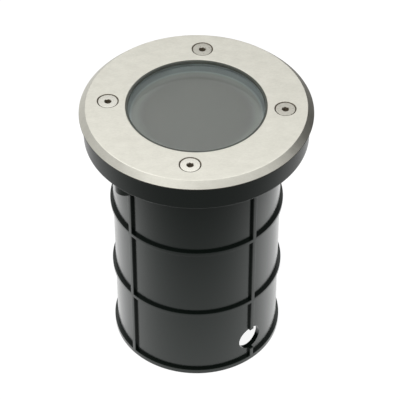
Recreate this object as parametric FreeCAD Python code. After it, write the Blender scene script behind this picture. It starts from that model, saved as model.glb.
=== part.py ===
"""In-ground well light: a steel-rimmed lamp unit in a ribbed plastic ground sleeve.

Millimetres, +Z up.  The origin is the middle of the sleeve's open bottom rim, at the
lowest point of the light.  An azimuth is counted from the front (-Y) towards +X.
The four trim screws stand on the X and Y axes, the sleeve's ribs halfway between them.
"""
import FreeCAD, Part
import math
import os

V = FreeCAD.Vector
UP = V(0, 0, 1)
ORIGIN = V(0, 0, 0)

# ---------------------------------------------------------------- driving dimensions
# ground sleeve, black moulded plastic
SLEEVE_H = 137.2           # bottom rim to the top rim of the cup
SLEEVE_WALL = 2.5
SLEEVE_CLEAR = 1.5         # room between the can and the tube
LEDGE_W = 12.7             # how far the cup stands out of the tube
CUP_WALL = 2.8
CUP_H = 12.8               # height of the black band under the steel ring
CUP_FLOOR = 2.6
CUP_EDGE = 0.8             # broken lower edge of the cup
BAND_PROUD = 1.5           # how far rings and ribs stand out of the tube
BAND_W = 2.2               # width of an upright rib
BAND_T = 2.0               # height of a ring
BAND_TOPS = (43.0, 84.6)   # top edges of the two upper rings
FOOT_T = 2.5               # height of the ring at the bottom rim
RIB_AZIMUTHS = (-45, 45, 135, -135)
CABLE_HOLE_R = 6.7
CABLE_HOLE_Z = 14.3
CABLE_HOLE_AZIMUTH = 45
BOSS_AZIMUTHS = (-45, 135)  # screw bosses under the cup, each on a rib
BOSS_R = 5.0
BOSS_DROP = 10.5           # how far a boss hangs below the cup
BOSS_SKIN = 2.0            # closed bottom of a boss
BOSS_OUT = 3.3             # centre of a boss outside the tube

# steel trim ring, its glass and its screws
GLASS_R = 35.5
GLASS_T = 8.0
GLASS_CHAMFER = 0.5
RING_T = 3.5
RING_BEVEL = 2.95
RING_OVERHANG = 1.8        # ring past the cup
RING_COVER = 2.4           # ring over the edge of the glass
RING_LIP = 1.2             # steel left above the glass
EDGE_BREAK = 0.3           # broken edge at the opening
GASKET_LIP = 0.6           # rubber between the glass and the ring
GASKET_WALL = 0.8          # rubber round and under the glass
GASKET_SHOW = 0.6          # rubber that shows inside the opening
GASKET_REACH = 2.1         # width of the rubber under the glass
SCREW_INSET = 4.9          # screw centre outside the ring's rebate
SCREW_R = 2.5              # M5
SCREW_LENGTH = 10.0
SCREW_HEAD_R = 4.6
SCREW_HEAD_RIM = 0.3       # straight edge of the countersunk head
SCREW_SINK = 0.25          # head below the steel face
SINK_RISE = 0.2            # countersink carried this far up past the head's cone
SCREW_KEY = 3.0            # hexagon key size, across flats
SCREW_KEY_DEPTH = 2.0
SCREW_SEAL_H = 0.65
SCREW_SEAL_W = 0.65
SCREW_NAMES = ("front", "right", "back", "left")

# lamp housing, die-cast
SEAT_T = 1.0               # flat seal between the cup's floor and the flange
SEAT_LAND = 1.0            # flange stands this far inside the seal's rim
FLANGE_STAND = 0.2         # flange face above the cup's rim
SEAT_COVER = 2.5           # can's seat under the edge of the glass
CAN_WALL = 3.5
CAN_DRAFT = 1.0            # both sides of the can draw in by this at the bottom
CAN_FLOOR = 3.0
CAN_EDGE = 2.0
CORE_DEPTH = 5.4           # cored pockets under the flange
CORE_WALL = 1.7
CORE_RIB = 2.0
TAP_BOSS_R = 4.2
TAP_DEPTH = 7.6
FIXING_R = 2.0             # M4 screws that hold the housing to the sleeve
FIXING_LENGTH = 16.0
FIXING_HEAD_R = 4.0
FIXING_HEAD_H = 2.6
FIXING_KEY = 2.5
FIXING_SEAT_DEPTH = 4.4    # head seat below the flange face
FIXING_BOSS_R = 6.0

# lamp with a two-pin bayonet base, and its holder
LAMP_R = 25.0
LAMP_FACE_GAP = 7.1        # glass to the lamp's face
LAMP_LENGTH = 52.0         # face to the underside of the base
LAMP_RIM_H = 3.0
LAMP_SHOULDER_R = 20.5     # bowl where its curve turns up
LAMP_SHOULDER_DROP = 20.0  # that turn below the rim
LAMP_SHELL = 1.2
LAMP_BASE_R = 12.0
LAMP_BASE_H = 12.0
LAMP_WAIST_H = 6.0
LENS_T = 2.2
PIN_PITCH = 10.0
PIN_R = 1.5
PIN_FOOT_R = 2.5
PIN_FOOT_H = 2.9
PIN_NECK_H = 3.1
LAMP_TWIST = 30.0          # degrees from locked to free
HOLDER_R = 15.0
HOLDER_FLAT = 11.0         # half width across the holder's flats
HOLDER_H = 22.7
HOLDER_LIP = 2.4           # ceramic over the pins' feet
HOLDER_POCKET = 9.4
CONTACT_T = 0.8
CONTACT_W = 4.0
HOLDER_SCREW_PITCH = 22.0
M3_R = 1.5
M3_HEAD_R = 2.8
M3_HEAD_H = 1.8
M3_KEY = 2.0
M3_SKIN = 1.0              # can's floor left under the M3 holes
M3_SHORT = 1.5             # screw tips above the can's underside
HOLDER_SCREW_PAST = 1.0    # screw tips below the bracket

# bracket, terminal block and wiring in the bottom of the housing
BRIDGE_H = 11.0            # top of the bracket over the can's floor
BRACKET_T = 1.2
BRACKET_W = 16.0
BRACKET_BEND = 0.8
LEG_GAP = 1.0              # bracket's legs outside the locknut's corners
TOE_GAP = 1.4              # bracket's toes inside the can's floor
FLOOR_BOSS_H = 2.0
FLOOR_BOSS_R = 4.0
TERMINAL_W = 22.0
TERMINAL_D = 10.0
TERMINAL_H = 13.0
TERMINAL_GAP = 0.4         # back corners of the block inside the can's floor
TERMINAL_POLES = 3
TERMINAL_PITCH = 7.0
TERMINAL_GROOVE_W = 1.0    # grooves between the poles
TERMINAL_GROOVE_DEPTH = 3.0
TERMINAL_SCREW_R = 1.7
TERMINAL_SCREW_SINK = 1.0  # screw below the block's top
TERMINAL_SLOT_W = 0.6      # the screws' driver slot
TERMINAL_SLOT_DEPTH = 0.9
EARTH_AZIMUTH = 234.7
EARTH_GAP = 1.1            # washer inside the can's floor
EARTH_WASHER_R = 3.8
EARTH_WASHER_T = 1.0
TAG_T = 0.8                # thickness of the earth lead's ring tag
TAG_EYE_W = 1.0            # metal between the tag's hole and its neck
LEAD_R = 1.0
LEAD_RISE = 6.6            # leads over the can's floor
LEAD_BEND = 4.0
LEAD_STRAIGHT = 2.0        # straight run into the terminal block
EARTH_LEAD_BEND = 2.5
EARTH_LEAD_STRAIGHT = 3.0
EARTH_LEAD_SWING = (6.5, 5.0, 1.5)  # its middle point: beside the pole, before the block, down

# cable gland, M20
GLAND_R = 10.0
GLAND_BORE_R = 6.2
GLAND_HEX = 24.0
GLAND_HEX_H = 5.0
GLAND_WASHER_R = 13.0
GLAND_WASHER_T = 1.0
GLAND_THREAD_R = 9.4       # lower thread, for the dome nut
GLAND_THREAD_H = 9.0
LOCKNUT_HEX = 26.0
LOCKNUT_H = 5.0
NUT_HEX = 24.0
NUT_H = 12.6
NUT_LIP_R = 6.5
NUT_DOME = 3.0
CABLE_R = 4.5              # bore of the rubber seal
SEAL_LENGTH = 13.8
SEAL_COLLAR_R = 8.4
SEAL_COLLAR_H = 2.5

# clearances
GAP = 0.3                  # pieces that part from each other
FIT = 0.05                 # screws and shafts in their holes
CAN_GAP = 0.6              # flange inside the cup
CHAMFER = 0.6

# ---------------------------------------------------------------- worked-out places
# across, from the glass outwards
GASKET_R = GLASS_R + GASKET_WALL
REBATE_R = GASKET_R + GAP
RING_OPENING_R = GLASS_R - RING_COVER
SCREW_CIRCLE_R = REBATE_R + SCREW_INSET
SCREW_HOLE_R = SCREW_R + SCREW_SEAL_W + FIT
CAN_BORE_R = GLASS_R - SEAT_COVER
CAN_R = CAN_BORE_R + CAN_WALL
BORE_R = CAN_R + SLEEVE_CLEAR
SLEEVE_R = BORE_R + SLEEVE_WALL
BAND_R = SLEEVE_R + BAND_PROUD
BOSS_CIRCLE_R = SLEEVE_R + BOSS_OUT
CUP_R = SLEEVE_R + LEDGE_W
RING_R = CUP_R + RING_OVERHANG
FLANGE_R = CUP_R - CUP_WALL - CAN_GAP

# upwards, from the sleeve's rim
RING_BOTTOM_Z = SLEEVE_H + FLANGE_STAND
TOP_Z = RING_BOTTOM_Z + RING_T
CUP_BOTTOM_Z = SLEEVE_H - CUP_H
CUP_FLOOR_Z = CUP_BOTTOM_Z + CUP_FLOOR
FLANGE_BOTTOM_Z = CUP_FLOOR_Z + SEAT_T
GLASS_TOP_Z = TOP_Z - RING_LIP - GASKET_LIP
GLASS_BOTTOM_Z = GLASS_TOP_Z - GLASS_T
GLASS_SEAT_Z = GLASS_BOTTOM_Z - GASKET_WALL
HEAD_TOP_Z = TOP_Z - SCREW_SINK
HEAD_CONE_Z = HEAD_TOP_Z - SCREW_HEAD_RIM
HEAD_BASE_Z = HEAD_CONE_Z - (SCREW_HEAD_R - SCREW_R)
FIXING_SEAT_Z = RING_BOTTOM_Z - FIXING_SEAT_DEPTH

# the lamp and its holder hang from the glass, the can's floor closes under them
LAMP_FACE_Z = GLASS_BOTTOM_Z - LAMP_FACE_GAP
LAMP_BASE_Z = LAMP_FACE_Z - LAMP_LENGTH
HOLDER_TOP_Z = LAMP_BASE_Z - GAP
HOLDER_BOTTOM_Z = HOLDER_TOP_Z - HOLDER_H
HOLDER_LIP_Z = HOLDER_TOP_Z - HOLDER_LIP
POCKET_Z = HOLDER_LIP_Z - HOLDER_POCKET
PIN_FOOT_Z = LAMP_BASE_Z - PIN_NECK_H
PIN_END_Z = PIN_FOOT_Z - PIN_FOOT_H
CAN_FLOOR_Z = HOLDER_BOTTOM_Z - BRIDGE_H
CAN_BOTTOM_Z = CAN_FLOOR_Z - CAN_FLOOR
BRACKET_BASE_Z = CAN_FLOOR_Z + FLOOR_BOSS_H
LEAD_Z = CAN_FLOOR_Z + LEAD_RISE

# on the can's floor
FLAT_R = CAN_BORE_R - CAN_DRAFT - CAN_EDGE
LEG_X = LOCKNUT_HEX / math.sqrt(3) + LEG_GAP + BRACKET_T
TOE_X = math.sqrt(FLAT_R ** 2 - (BRACKET_W / 2) ** 2) - TOE_GAP
BRACKET_HOLE_X = (LEG_X + TOE_X) / 2
TERMINAL_BACK = math.sqrt(FLAT_R ** 2 - (TERMINAL_W / 2) ** 2) - TERMINAL_GAP
TERMINAL_FRONT = TERMINAL_BACK - TERMINAL_D
TERMINAL_Y = (TERMINAL_FRONT + TERMINAL_BACK) / 2
EARTH_R = FLAT_R - EARTH_WASHER_R - EARTH_GAP
EARTH_X = EARTH_R * math.sin(math.radians(EARTH_AZIMUTH))
EARTH_Y = -EARTH_R * math.cos(math.radians(EARTH_AZIMUTH))

# cable gland under the can
HEX_TOP_Z = CAN_BOTTOM_Z - GLAND_WASHER_T
HEX_BOTTOM_Z = HEX_TOP_Z - GLAND_HEX_H
GLAND_END_Z = HEX_BOTTOM_Z - GLAND_THREAD_H
SEAL_BOTTOM_Z = GLAND_END_Z - GAP - SEAL_COLLAR_H
NUT_TOP_Z = HEX_BOTTOM_Z - GAP
NUT_BOTTOM_Z = NUT_TOP_Z - NUT_H - GAP
NUT_FLOOR_Z = SEAL_BOTTOM_Z - GAP


# ---------------------------------------------------------------- shaping helpers
def outline(corners, place):
    """A closed face from (a, b) corners, each put in space by place.

    A third number rounds the corner by that radius, or chamfers it if it is negative.
    """
    points = [V(c[0], c[1], 0) for c in corners]
    stops = []
    for i, corner in enumerate(corners):
        here = points[i]
        before = (points[i - 1] - here).normalize()
        after = (points[(i + 1) % len(points)] - here).normalize()
        size = corner[2] if len(corner) > 2 else 0
        reach = abs(size)
        top = None
        if size > 0:
            half = before.getAngle(after) / 2
            reach = size / math.tan(half)
            top = here + (before + after).normalize() * (size / math.sin(half) - size)
        stops.append((here + before * reach, top, here + after * reach))
    edges = []
    for i, (start, top, end) in enumerate(stops):
        if top:
            edges.append(Part.Arc(place(start), place(top), place(end)).toShape())
        following = stops[(i + 1) % len(stops)][0]
        for a, b in ((start, end), (end, following)):
            if a.distanceToPoint(b) > 1e-7 and not (top and b is end):
                edges.append(Part.makeLine(place(a), place(b)))
    return Part.Face(Part.Wire(edges))


def turned(*corners):
    """A solid of revolution about Z from (radius, height) corners, as outline takes them."""
    face = outline(corners, lambda p: V(p.x, 0, p.y))
    return face.revolve(ORIGIN, UP, 360)


def post(radius, low, high, x=0.0, y=0.0):
    return Part.makeCylinder(radius, high - low, V(x, y, low))


def pipe(outer, inner, low, high, x=0.0, y=0.0):
    return post(outer, low, high, x, y).cut(post(inner, low, high, x, y))


def block(x0, x1, y0, y1, z0, z1):
    return Part.makeBox(x1 - x0, y1 - y0, z1 - z0, V(x0, y0, z0))


def hexagon(across_flats, low, high, x=0.0, y=0.0):
    """An upright hexagonal prism with a corner on +X."""
    corner = across_flats / math.sqrt(3)
    points = [V(x + corner * math.cos(math.radians(60 * i)),
                y + corner * math.sin(math.radians(60 * i)), low) for i in range(7)]
    return Part.Face(Part.makePolygon(points)).extrude(UP * (high - low))


def nut_blank(across_flats, low, high):
    """A hexagon whose corners are turned off at both ends, as on a real nut."""
    corner = across_flats / math.sqrt(3)
    flat = across_flats / 2
    drop = (corner - flat) * 0.6
    return hexagon(across_flats, low, high).common(turned(
        (0, low), (flat, low), (corner, low + drop),
        (corner, high - drop), (flat, high), (0, high)))


def at_azimuth(shape, azimuth):
    """A shape made at the front, turned to its azimuth."""
    moved = shape.copy()
    moved.rotate(ORIGIN, UP, azimuth)
    return moved


def fused(shapes):
    first, *rest = shapes
    return first.fuse(rest).removeSplitter() if rest else first


def arc_slot(radius, half_width, start, end, low, high):
    """A curved slot about Z with round ends; angles in degrees from +X."""
    band = pipe(radius + half_width, radius - half_width, low, high)
    reach = 2 * radius
    a, b = math.radians(start), math.radians(end)
    wedge = Part.Face(Part.makePolygon([
        V(0, 0, low), V(reach * math.cos(a), reach * math.sin(a), low),
        V(reach * math.cos(b), reach * math.sin(b), low), V(0, 0, low)]))
    band = band.common(wedge.extrude(UP * (high - low)))
    ends = [post(half_width, low, high, radius * math.cos(t), radius * math.sin(t))
            for t in (a, b)]
    return fused([band] + ends)


def pair(shape):
    """The shape and its copy half a turn round the axis, as two separate solids."""
    return Part.makeCompound([shape, at_azimuth(shape, 180)])


def routed_lead(points, bend):
    """An insulated lead of radius LEAD_R: straight runs joined by tangent arcs."""
    points = [V(*p) for p in points]
    edges = []
    last = points[0]
    for i in range(1, len(points) - 1):
        here = points[i]
        back = (points[i - 1] - here).normalize()
        on = (points[i + 1] - here).normalize()
        half = back.getAngle(on) / 2
        reach = bend / math.tan(half)
        middle = (back + on).normalize()
        start = here + back * reach
        edges.append(Part.makeLine(last, start))
        top = here + middle * (bend / math.sin(half) - bend)
        last = here + on * reach
        edges.append(Part.Arc(start, top, last).toShape())
    edges.append(Part.makeLine(last, points[-1]))
    path = Part.Wire(edges)
    run = (points[1] - points[0]).normalize()
    profile = Part.Wire(Part.makeCircle(LEAD_R, points[0], run))
    solid = path.makePipeShell([profile], True, False)
    print("lead: bend radius %.1f, length %.1f, volume %.1f of %.1f" % (
        bend, path.Length, solid.Volume, math.pi * LEAD_R ** 2 * path.Length))
    return solid


def socket_screw(radius, top, head_r, head_h, length, key, x, y):
    """A cap screw with a round head and a hexagon socket; length is the shank's."""
    under = top - head_h
    tip = under - length
    shape = turned((0, tip), (radius, tip, -CHAMFER), (radius, under),
                   (head_r, under), (head_r, top, -head_h / 5), (0, top))
    shape.translate(V(x, y, 0))
    return shape.cut(hexagon(key, top - head_h * 0.6, top + 1, x, y))


# ---------------------------------------------------------------- ground sleeve
def boss_places():
    """Centres of the bosses, which the housing's fixing screws share."""
    return [(BOSS_CIRCLE_R * math.sin(math.radians(a)), -BOSS_CIRCLE_R * math.cos(math.radians(a)))
            for a in BOSS_AZIMUTHS]


def mounting_sleeve():
    corners = [(BORE_R, 0), (BAND_R, 0), (BAND_R, FOOT_T), (SLEEVE_R, FOOT_T)]
    for top in BAND_TOPS:
        corners += [(SLEEVE_R, top - BAND_T), (BAND_R, top - BAND_T), (BAND_R, top), (SLEEVE_R, top)]
    corners += [
        (SLEEVE_R, CUP_BOTTOM_Z), (CUP_R, CUP_BOTTOM_Z, -CUP_EDGE), (CUP_R, SLEEVE_H),
        (CUP_R - CUP_WALL, SLEEVE_H), (CUP_R - CUP_WALL, CUP_FLOOR_Z), (BORE_R, CUP_FLOOR_Z)]
    body = turned(*corners)
    inside = (BORE_R + SLEEVE_R) / 2
    rib = block(-BAND_W / 2, BAND_W / 2, -BAND_R - 1, -inside, 0, CUP_BOTTOM_Z)
    rib = rib.common(post(BAND_R, 0, CUP_BOTTOM_Z))
    boss_bottom = CUP_BOTTOM_Z - BOSS_DROP
    solids = [body] + [at_azimuth(rib, a) for a in RIB_AZIMUTHS]
    solids += [post(BOSS_R, boss_bottom, CUP_BOTTOM_Z, x, y) for x, y in boss_places()]
    sleeve = fused(solids)
    for x, y in boss_places():
        sleeve = sleeve.cut(post(FIXING_R + FIT, boss_bottom + BOSS_SKIN, CUP_FLOOR_Z, x, y))
    bore = Part.makeCylinder(CABLE_HOLE_R, BAND_R, V(0, 0, CABLE_HOLE_Z), V(0, -1, 0))
    bore.translate(V(0, -BORE_R / 2, 0))
    return sleeve.cut(at_azimuth(bore, CABLE_HOLE_AZIMUTH))


def seat_seal():
    """Flat rubber ring on the cup's floor, under the housing's flange."""
    ring = pipe(FLANGE_R - GAP, CAN_R + SEAT_LAND, CUP_FLOOR_Z, FLANGE_BOTTOM_Z)
    for x, y in boss_places():
        ring = ring.cut(post(FIXING_R + GAP, CUP_FLOOR_Z, FLANGE_BOTTOM_Z, x, y))
    return ring


# ---------------------------------------------------------------- trim ring and glass
def trim_ring():
    lip_z = TOP_Z - RING_LIP
    ring = turned(
        (REBATE_R, RING_BOTTOM_Z), (RING_R, RING_BOTTOM_Z), (RING_R, TOP_Z - RING_BEVEL),
        (RING_R - RING_BEVEL, TOP_Z), (RING_OPENING_R, TOP_Z, -EDGE_BREAK),
        (RING_OPENING_R, lip_z), (REBATE_R, lip_z))
    wide = SCREW_HEAD_R + GAP + SINK_RISE
    sink_z = HEAD_CONE_Z + SINK_RISE
    hole = turned(
        (0, RING_BOTTOM_Z - 1), (SCREW_HOLE_R, RING_BOTTOM_Z - 1),
        (SCREW_HOLE_R, sink_z - (wide - SCREW_HOLE_R)), (wide, sink_z),
        (wide, TOP_Z + 1), (0, TOP_Z + 1))
    hole.translate(V(0, -SCREW_CIRCLE_R, 0))
    return ring.cut([at_azimuth(hole, 90 * i) for i in range(len(SCREW_NAMES))])


def trim_screw():
    tip = HEAD_TOP_Z - SCREW_LENGTH
    screw = turned(
        (0, tip), (SCREW_R, tip, -CHAMFER), (SCREW_R, HEAD_BASE_Z),
        (SCREW_HEAD_R, HEAD_CONE_Z), (SCREW_HEAD_R, HEAD_TOP_Z), (0, HEAD_TOP_Z))
    screw = screw.cut(hexagon(SCREW_KEY, HEAD_TOP_Z - SCREW_KEY_DEPTH, HEAD_TOP_Z + 1))
    screw.translate(V(0, -SCREW_CIRCLE_R, 0))
    return screw


def screw_seal():
    """O-ring on the shank under the head, squeezed to the shape of its hole."""
    inner = SCREW_R + FIT / 2
    outer = SCREW_HOLE_R - FIT
    top = HEAD_BASE_Z - FIT
    bottom = top - SCREW_SEAL_H
    flank = -SCREW_SEAL_W / 4
    ring = turned((inner, bottom, flank), (outer, bottom, flank),
                  (outer, top, flank), (inner, top, flank))
    ring.translate(V(0, -SCREW_CIRCLE_R, 0))
    return ring


def glass():
    return turned(
        (0, GLASS_BOTTOM_Z), (GLASS_R, GLASS_BOTTOM_Z, -GLASS_CHAMFER),
        (GLASS_R, GLASS_TOP_Z, -GLASS_CHAMFER), (0, GLASS_TOP_Z))


def glass_gasket():
    """Rubber channel that wraps the edge of the glass."""
    show = RING_OPENING_R - GASKET_SHOW
    under = GASKET_R - GASKET_REACH - GASKET_WALL
    lip_top = GLASS_TOP_Z + GASKET_LIP
    return turned(
        (under, GLASS_SEAT_Z), (GASKET_R, GLASS_SEAT_Z), (GASKET_R, lip_top), (show, lip_top),
        (show, GLASS_TOP_Z), (GLASS_R, GLASS_TOP_Z), (GLASS_R, GLASS_BOTTOM_Z),
        (under, GLASS_BOTTOM_Z))


# ---------------------------------------------------------------- lamp housing
def bracket_places():
    return [(side * BRACKET_HOLE_X, 0.0) for side in (-1, 1)]


def housing():
    """Die-cast can with a cored flange, a stepped seat for the glass and a gland hole."""
    bore_low = CAN_BORE_R - CAN_DRAFT
    can = turned(
        (0, CAN_BOTTOM_Z), (CAN_R - CAN_DRAFT, CAN_BOTTOM_Z, -CAN_EDGE), (CAN_R, FLANGE_BOTTOM_Z),
        (FLANGE_R, FLANGE_BOTTOM_Z), (FLANGE_R, RING_BOTTOM_Z, -CHAMFER),
        (REBATE_R, RING_BOTTOM_Z), (REBATE_R, GLASS_SEAT_Z), (CAN_BORE_R, GLASS_SEAT_Z),
        (bore_low, CAN_FLOOR_Z, -CAN_EDGE), (0, CAN_FLOOR_Z))
    core_top = FLANGE_BOTTOM_Z + CORE_DEPTH
    core = pipe(FLANGE_R - CORE_WALL, CAN_R + CORE_WALL, FLANGE_BOTTOM_Z - 1, core_top)
    kept = [at_azimuth(post(TAP_BOSS_R, 0, core_top, 0, -SCREW_CIRCLE_R), 90 * i)
            for i in range(len(SCREW_NAMES))]
    kept += [post(FIXING_BOSS_R, 0, core_top, x, y) for x, y in boss_places()]
    rib = block(-CORE_RIB / 2, CORE_RIB / 2, -FLANGE_R, -SCREW_CIRCLE_R, 0, core_top)
    kept += [at_azimuth(rib, 90 * i) for i in range(len(SCREW_NAMES))]
    can = can.cut(core.cut(kept))
    tap = post(SCREW_R + FIT, RING_BOTTOM_Z - TAP_DEPTH, RING_BOTTOM_Z, 0, -SCREW_CIRCLE_R)
    cuts = [at_azimuth(tap, 90 * i) for i in range(len(SCREW_NAMES))]
    for x, y in boss_places():
        cuts.append(post(FIXING_R + GAP, FLANGE_BOTTOM_Z, RING_BOTTOM_Z, x, y))
        cuts.append(post(FIXING_HEAD_R + GAP, FIXING_SEAT_Z, RING_BOTTOM_Z, x, y))
    cuts.append(post(GLAND_R + FIT, CAN_BOTTOM_Z, CAN_FLOOR_Z))
    can = can.cut(cuts)
    floor_bosses = bracket_places() + [(EARTH_X, EARTH_Y)]
    can = fused([can] + [post(FLOOR_BOSS_R, CAN_FLOOR_Z, BRACKET_BASE_Z, x, y) for x, y in floor_bosses])
    for x, y in floor_bosses:
        can = can.cut(post(M3_R + FIT, CAN_BOTTOM_Z + M3_SKIN, BRACKET_BASE_Z, x, y))
    return can


def fixing_screws():
    """The two screws through the flange into the sleeve's bosses."""
    return Part.makeCompound([
        socket_screw(FIXING_R, FIXING_SEAT_Z + FIXING_HEAD_H, FIXING_HEAD_R, FIXING_HEAD_H,
                     FIXING_LENGTH, FIXING_KEY, x, y) for x, y in boss_places()])


# ---------------------------------------------------------------- lamp
def lamp_shell():
    """Bowl of the lamp, open at the top for the lens and closed onto the base."""
    low = LAMP_BASE_Z + LAMP_BASE_H
    waist = low + LAMP_WAIST_H
    rim = LAMP_FACE_Z - LAMP_RIM_H
    t = LAMP_SHELL
    shoulder = rim - LAMP_SHOULDER_DROP
    return turned(
        (LAMP_BASE_R - t, low), (LAMP_BASE_R, low), (LAMP_BASE_R + t, waist),
        (LAMP_SHOULDER_R, shoulder), (LAMP_R, rim), (LAMP_R, LAMP_FACE_Z),
        (LAMP_R - t, LAMP_FACE_Z), (LAMP_R - t, rim), (LAMP_SHOULDER_R - t, shoulder),
        (LAMP_BASE_R, waist))


def lamp_lens():
    r = LAMP_R - LAMP_SHELL
    return turned((0, LAMP_FACE_Z - LENS_T), (r, LAMP_FACE_Z - LENS_T),
                  (r, LAMP_FACE_Z, -CHAMFER), (0, LAMP_FACE_Z))


def lamp_base():
    """Ceramic plug of the lamp: it closes the bowl and carries the two pins."""
    low = LAMP_BASE_Z
    high = low + LAMP_BASE_H
    neck = LAMP_BASE_R - LAMP_SHELL - FIT
    plug = turned((0, low), (LAMP_BASE_R, low, -CHAMFER), (LAMP_BASE_R, high), (neck, high),
                  (neck, high + LAMP_SHELL), (0, high + LAMP_SHELL))
    for side in (-1, 1):
        plug = plug.cut(post(PIN_R + FIT, low, low + LAMP_BASE_H / 2, side * PIN_PITCH / 2))
    return plug


def lamp_pins():
    x = PIN_PITCH / 2
    pin = turned(
        (0, PIN_END_Z), (PIN_FOOT_R, PIN_END_Z, -CHAMFER), (PIN_FOOT_R, PIN_FOOT_Z),
        (PIN_R, PIN_FOOT_Z), (PIN_R, LAMP_BASE_Z + LAMP_BASE_H / 2),
        (0, LAMP_BASE_Z + LAMP_BASE_H / 2))
    pin.translate(V(x, 0, 0))
    return pair(pin)


# ---------------------------------------------------------------- lampholder
def lampholder():
    """Ceramic block whose two keyhole slots take the pins and lock them by a twist."""
    body = post(HOLDER_R, HOLDER_BOTTOM_Z, HOLDER_TOP_Z)
    body = body.common(block(-HOLDER_R, HOLDER_R, -HOLDER_FLAT, HOLDER_FLAT,
                             HOLDER_BOTTOM_Z, HOLDER_TOP_Z))
    reach = PIN_PITCH / 2
    neck = arc_slot(reach, PIN_R + GAP, 0, LAMP_TWIST, HOLDER_LIP_Z, HOLDER_TOP_Z)
    turn = math.radians(LAMP_TWIST)
    mouth = post(PIN_FOOT_R + GAP, HOLDER_LIP_Z, HOLDER_TOP_Z,
                 reach * math.cos(turn), reach * math.sin(turn))
    pocket = arc_slot(reach, PIN_FOOT_R + GAP, 0, LAMP_TWIST, POCKET_Z, HOLDER_LIP_Z)
    wire_way = post(LEAD_R + GAP, HOLDER_BOTTOM_Z, POCKET_Z, reach)
    screw_x = HOLDER_SCREW_PITCH / 2
    screw_way = post(M3_R + FIT, HOLDER_BOTTOM_Z, HOLDER_TOP_Z, screw_x)
    screw_seat = post(M3_HEAD_R + FIT, HOLDER_LIP_Z, HOLDER_TOP_Z, screw_x)
    cuts = [neck, mouth, pocket, wire_way, screw_way, screw_seat]
    return body.cut(cuts + [at_azimuth(c, 180) for c in cuts])


def lampholder_contacts():
    """Spring strips under the pins' feet, each with a tail on the pocket's floor."""
    top = PIN_END_Z - GAP
    strip = arc_slot(PIN_PITCH / 2, CONTACT_W / 2, 0, LAMP_TWIST, top - CONTACT_T, top)
    tail = post(LEAD_R, POCKET_Z, top - CONTACT_T, PIN_PITCH / 2)
    return pair(fused([strip, tail]))


def holder_screws():
    x = HOLDER_SCREW_PITCH / 2
    length = HOLDER_LIP_Z - HOLDER_BOTTOM_Z + BRACKET_T + HOLDER_SCREW_PAST
    return pair(socket_screw(M3_R, HOLDER_LIP_Z + M3_HEAD_H, M3_HEAD_R, M3_HEAD_H, length, M3_KEY, x, 0))


def lampholder_bracket():
    """Steel strip bent into a bridge over the gland's locknut."""
    t = BRACKET_T
    top = HOLDER_BOTTOM_Z
    low = BRACKET_BASE_Z
    bend = BRACKET_BEND
    right = [(TOE_X, low), (TOE_X, low + t), (LEG_X, low + t, bend), (LEG_X, top, bend + t)]
    under = [(LEG_X - t, top - t, bend), (LEG_X - t, low, bend + t)]
    left = [(-a, *rest) for a, *rest in reversed(right)]
    under_left = [(-a, *rest) for a, *rest in reversed(under)]
    face = outline(right + left + under_left + under, lambda p: V(p.x, -BRACKET_W / 2, p.y))
    strip = face.extrude(V(0, BRACKET_W, 0))
    for side in (-1, 1):
        strip = strip.cut(post(LEAD_R + GAP, top - t, top, side * PIN_PITCH / 2))
        strip = strip.cut(post(M3_R + FIT, top - t, top, side * HOLDER_SCREW_PITCH / 2))
        strip = strip.cut(post(M3_R + FIT, low, low + t, side * BRACKET_HOLE_X))
    return strip


def bracket_screws():
    top = BRACKET_BASE_Z + BRACKET_T + M3_HEAD_H
    shank = BRACKET_T + FLOOR_BOSS_H + CAN_FLOOR - M3_SHORT
    return Part.makeCompound([
        socket_screw(M3_R, top, M3_HEAD_R, M3_HEAD_H, shank, M3_KEY, x, y) for x, y in bracket_places()])


# ---------------------------------------------------------------- terminals and wiring
def pole_xs():
    middle = (TERMINAL_POLES - 1) / 2
    return [(i - middle) * TERMINAL_PITCH for i in range(TERMINAL_POLES)]


def terminal_block():
    """Three-pole block: a wire hole through each pole and a screw well above it."""
    high = CAN_FLOOR_Z + TERMINAL_H
    front, back = TERMINAL_FRONT, TERMINAL_BACK
    body = block(-TERMINAL_W / 2, TERMINAL_W / 2, front, back, CAN_FLOOR_Z, high)
    cuts = []
    for x in pole_xs():
        wire = Part.makeCylinder(LEAD_R + GAP, TERMINAL_D, V(x, front, LEAD_Z), V(0, 1, 0))
        cuts.append(wire)
        cuts.append(post(TERMINAL_SCREW_R + FIT, LEAD_Z, high, x, TERMINAL_Y))
    for x in [(a + b) / 2 for a, b in zip(pole_xs(), pole_xs()[1:])]:
        cuts.append(block(x - TERMINAL_GROOVE_W / 2, x + TERMINAL_GROOVE_W / 2, front, back,
                          high - TERMINAL_GROOVE_DEPTH, high))
    return body.cut(cuts)


def terminal_screws():
    top = CAN_FLOOR_Z + TERMINAL_H - TERMINAL_SCREW_SINK
    screws = []
    for x in pole_xs():
        screw = post(TERMINAL_SCREW_R, LEAD_Z + LEAD_R, top, x, TERMINAL_Y)
        slot = block(x - TERMINAL_SCREW_R, x + TERMINAL_SCREW_R, TERMINAL_Y - TERMINAL_SLOT_W / 2,
                     TERMINAL_Y + TERMINAL_SLOT_W / 2, top - TERMINAL_SLOT_DEPTH, top)
        screws.append(screw.cut(slot))
    return Part.makeCompound(screws)


def earth_screw():
    """Screw and captive washer that clamp the earth lead's tag to the can."""
    seat = BRACKET_BASE_Z + TAG_T
    washer = pipe(EARTH_WASHER_R, M3_R, seat, seat + EARTH_WASHER_T, EARTH_X, EARTH_Y)
    top = seat + EARTH_WASHER_T + M3_HEAD_H
    shank = EARTH_WASHER_T + TAG_T + FLOOR_BOSS_H + CAN_FLOOR - M3_SHORT
    screw = socket_screw(M3_R, top, M3_HEAD_R, M3_HEAD_H, shank, M3_KEY, EARTH_X, EARTH_Y)
    return fused([washer, screw])


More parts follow.
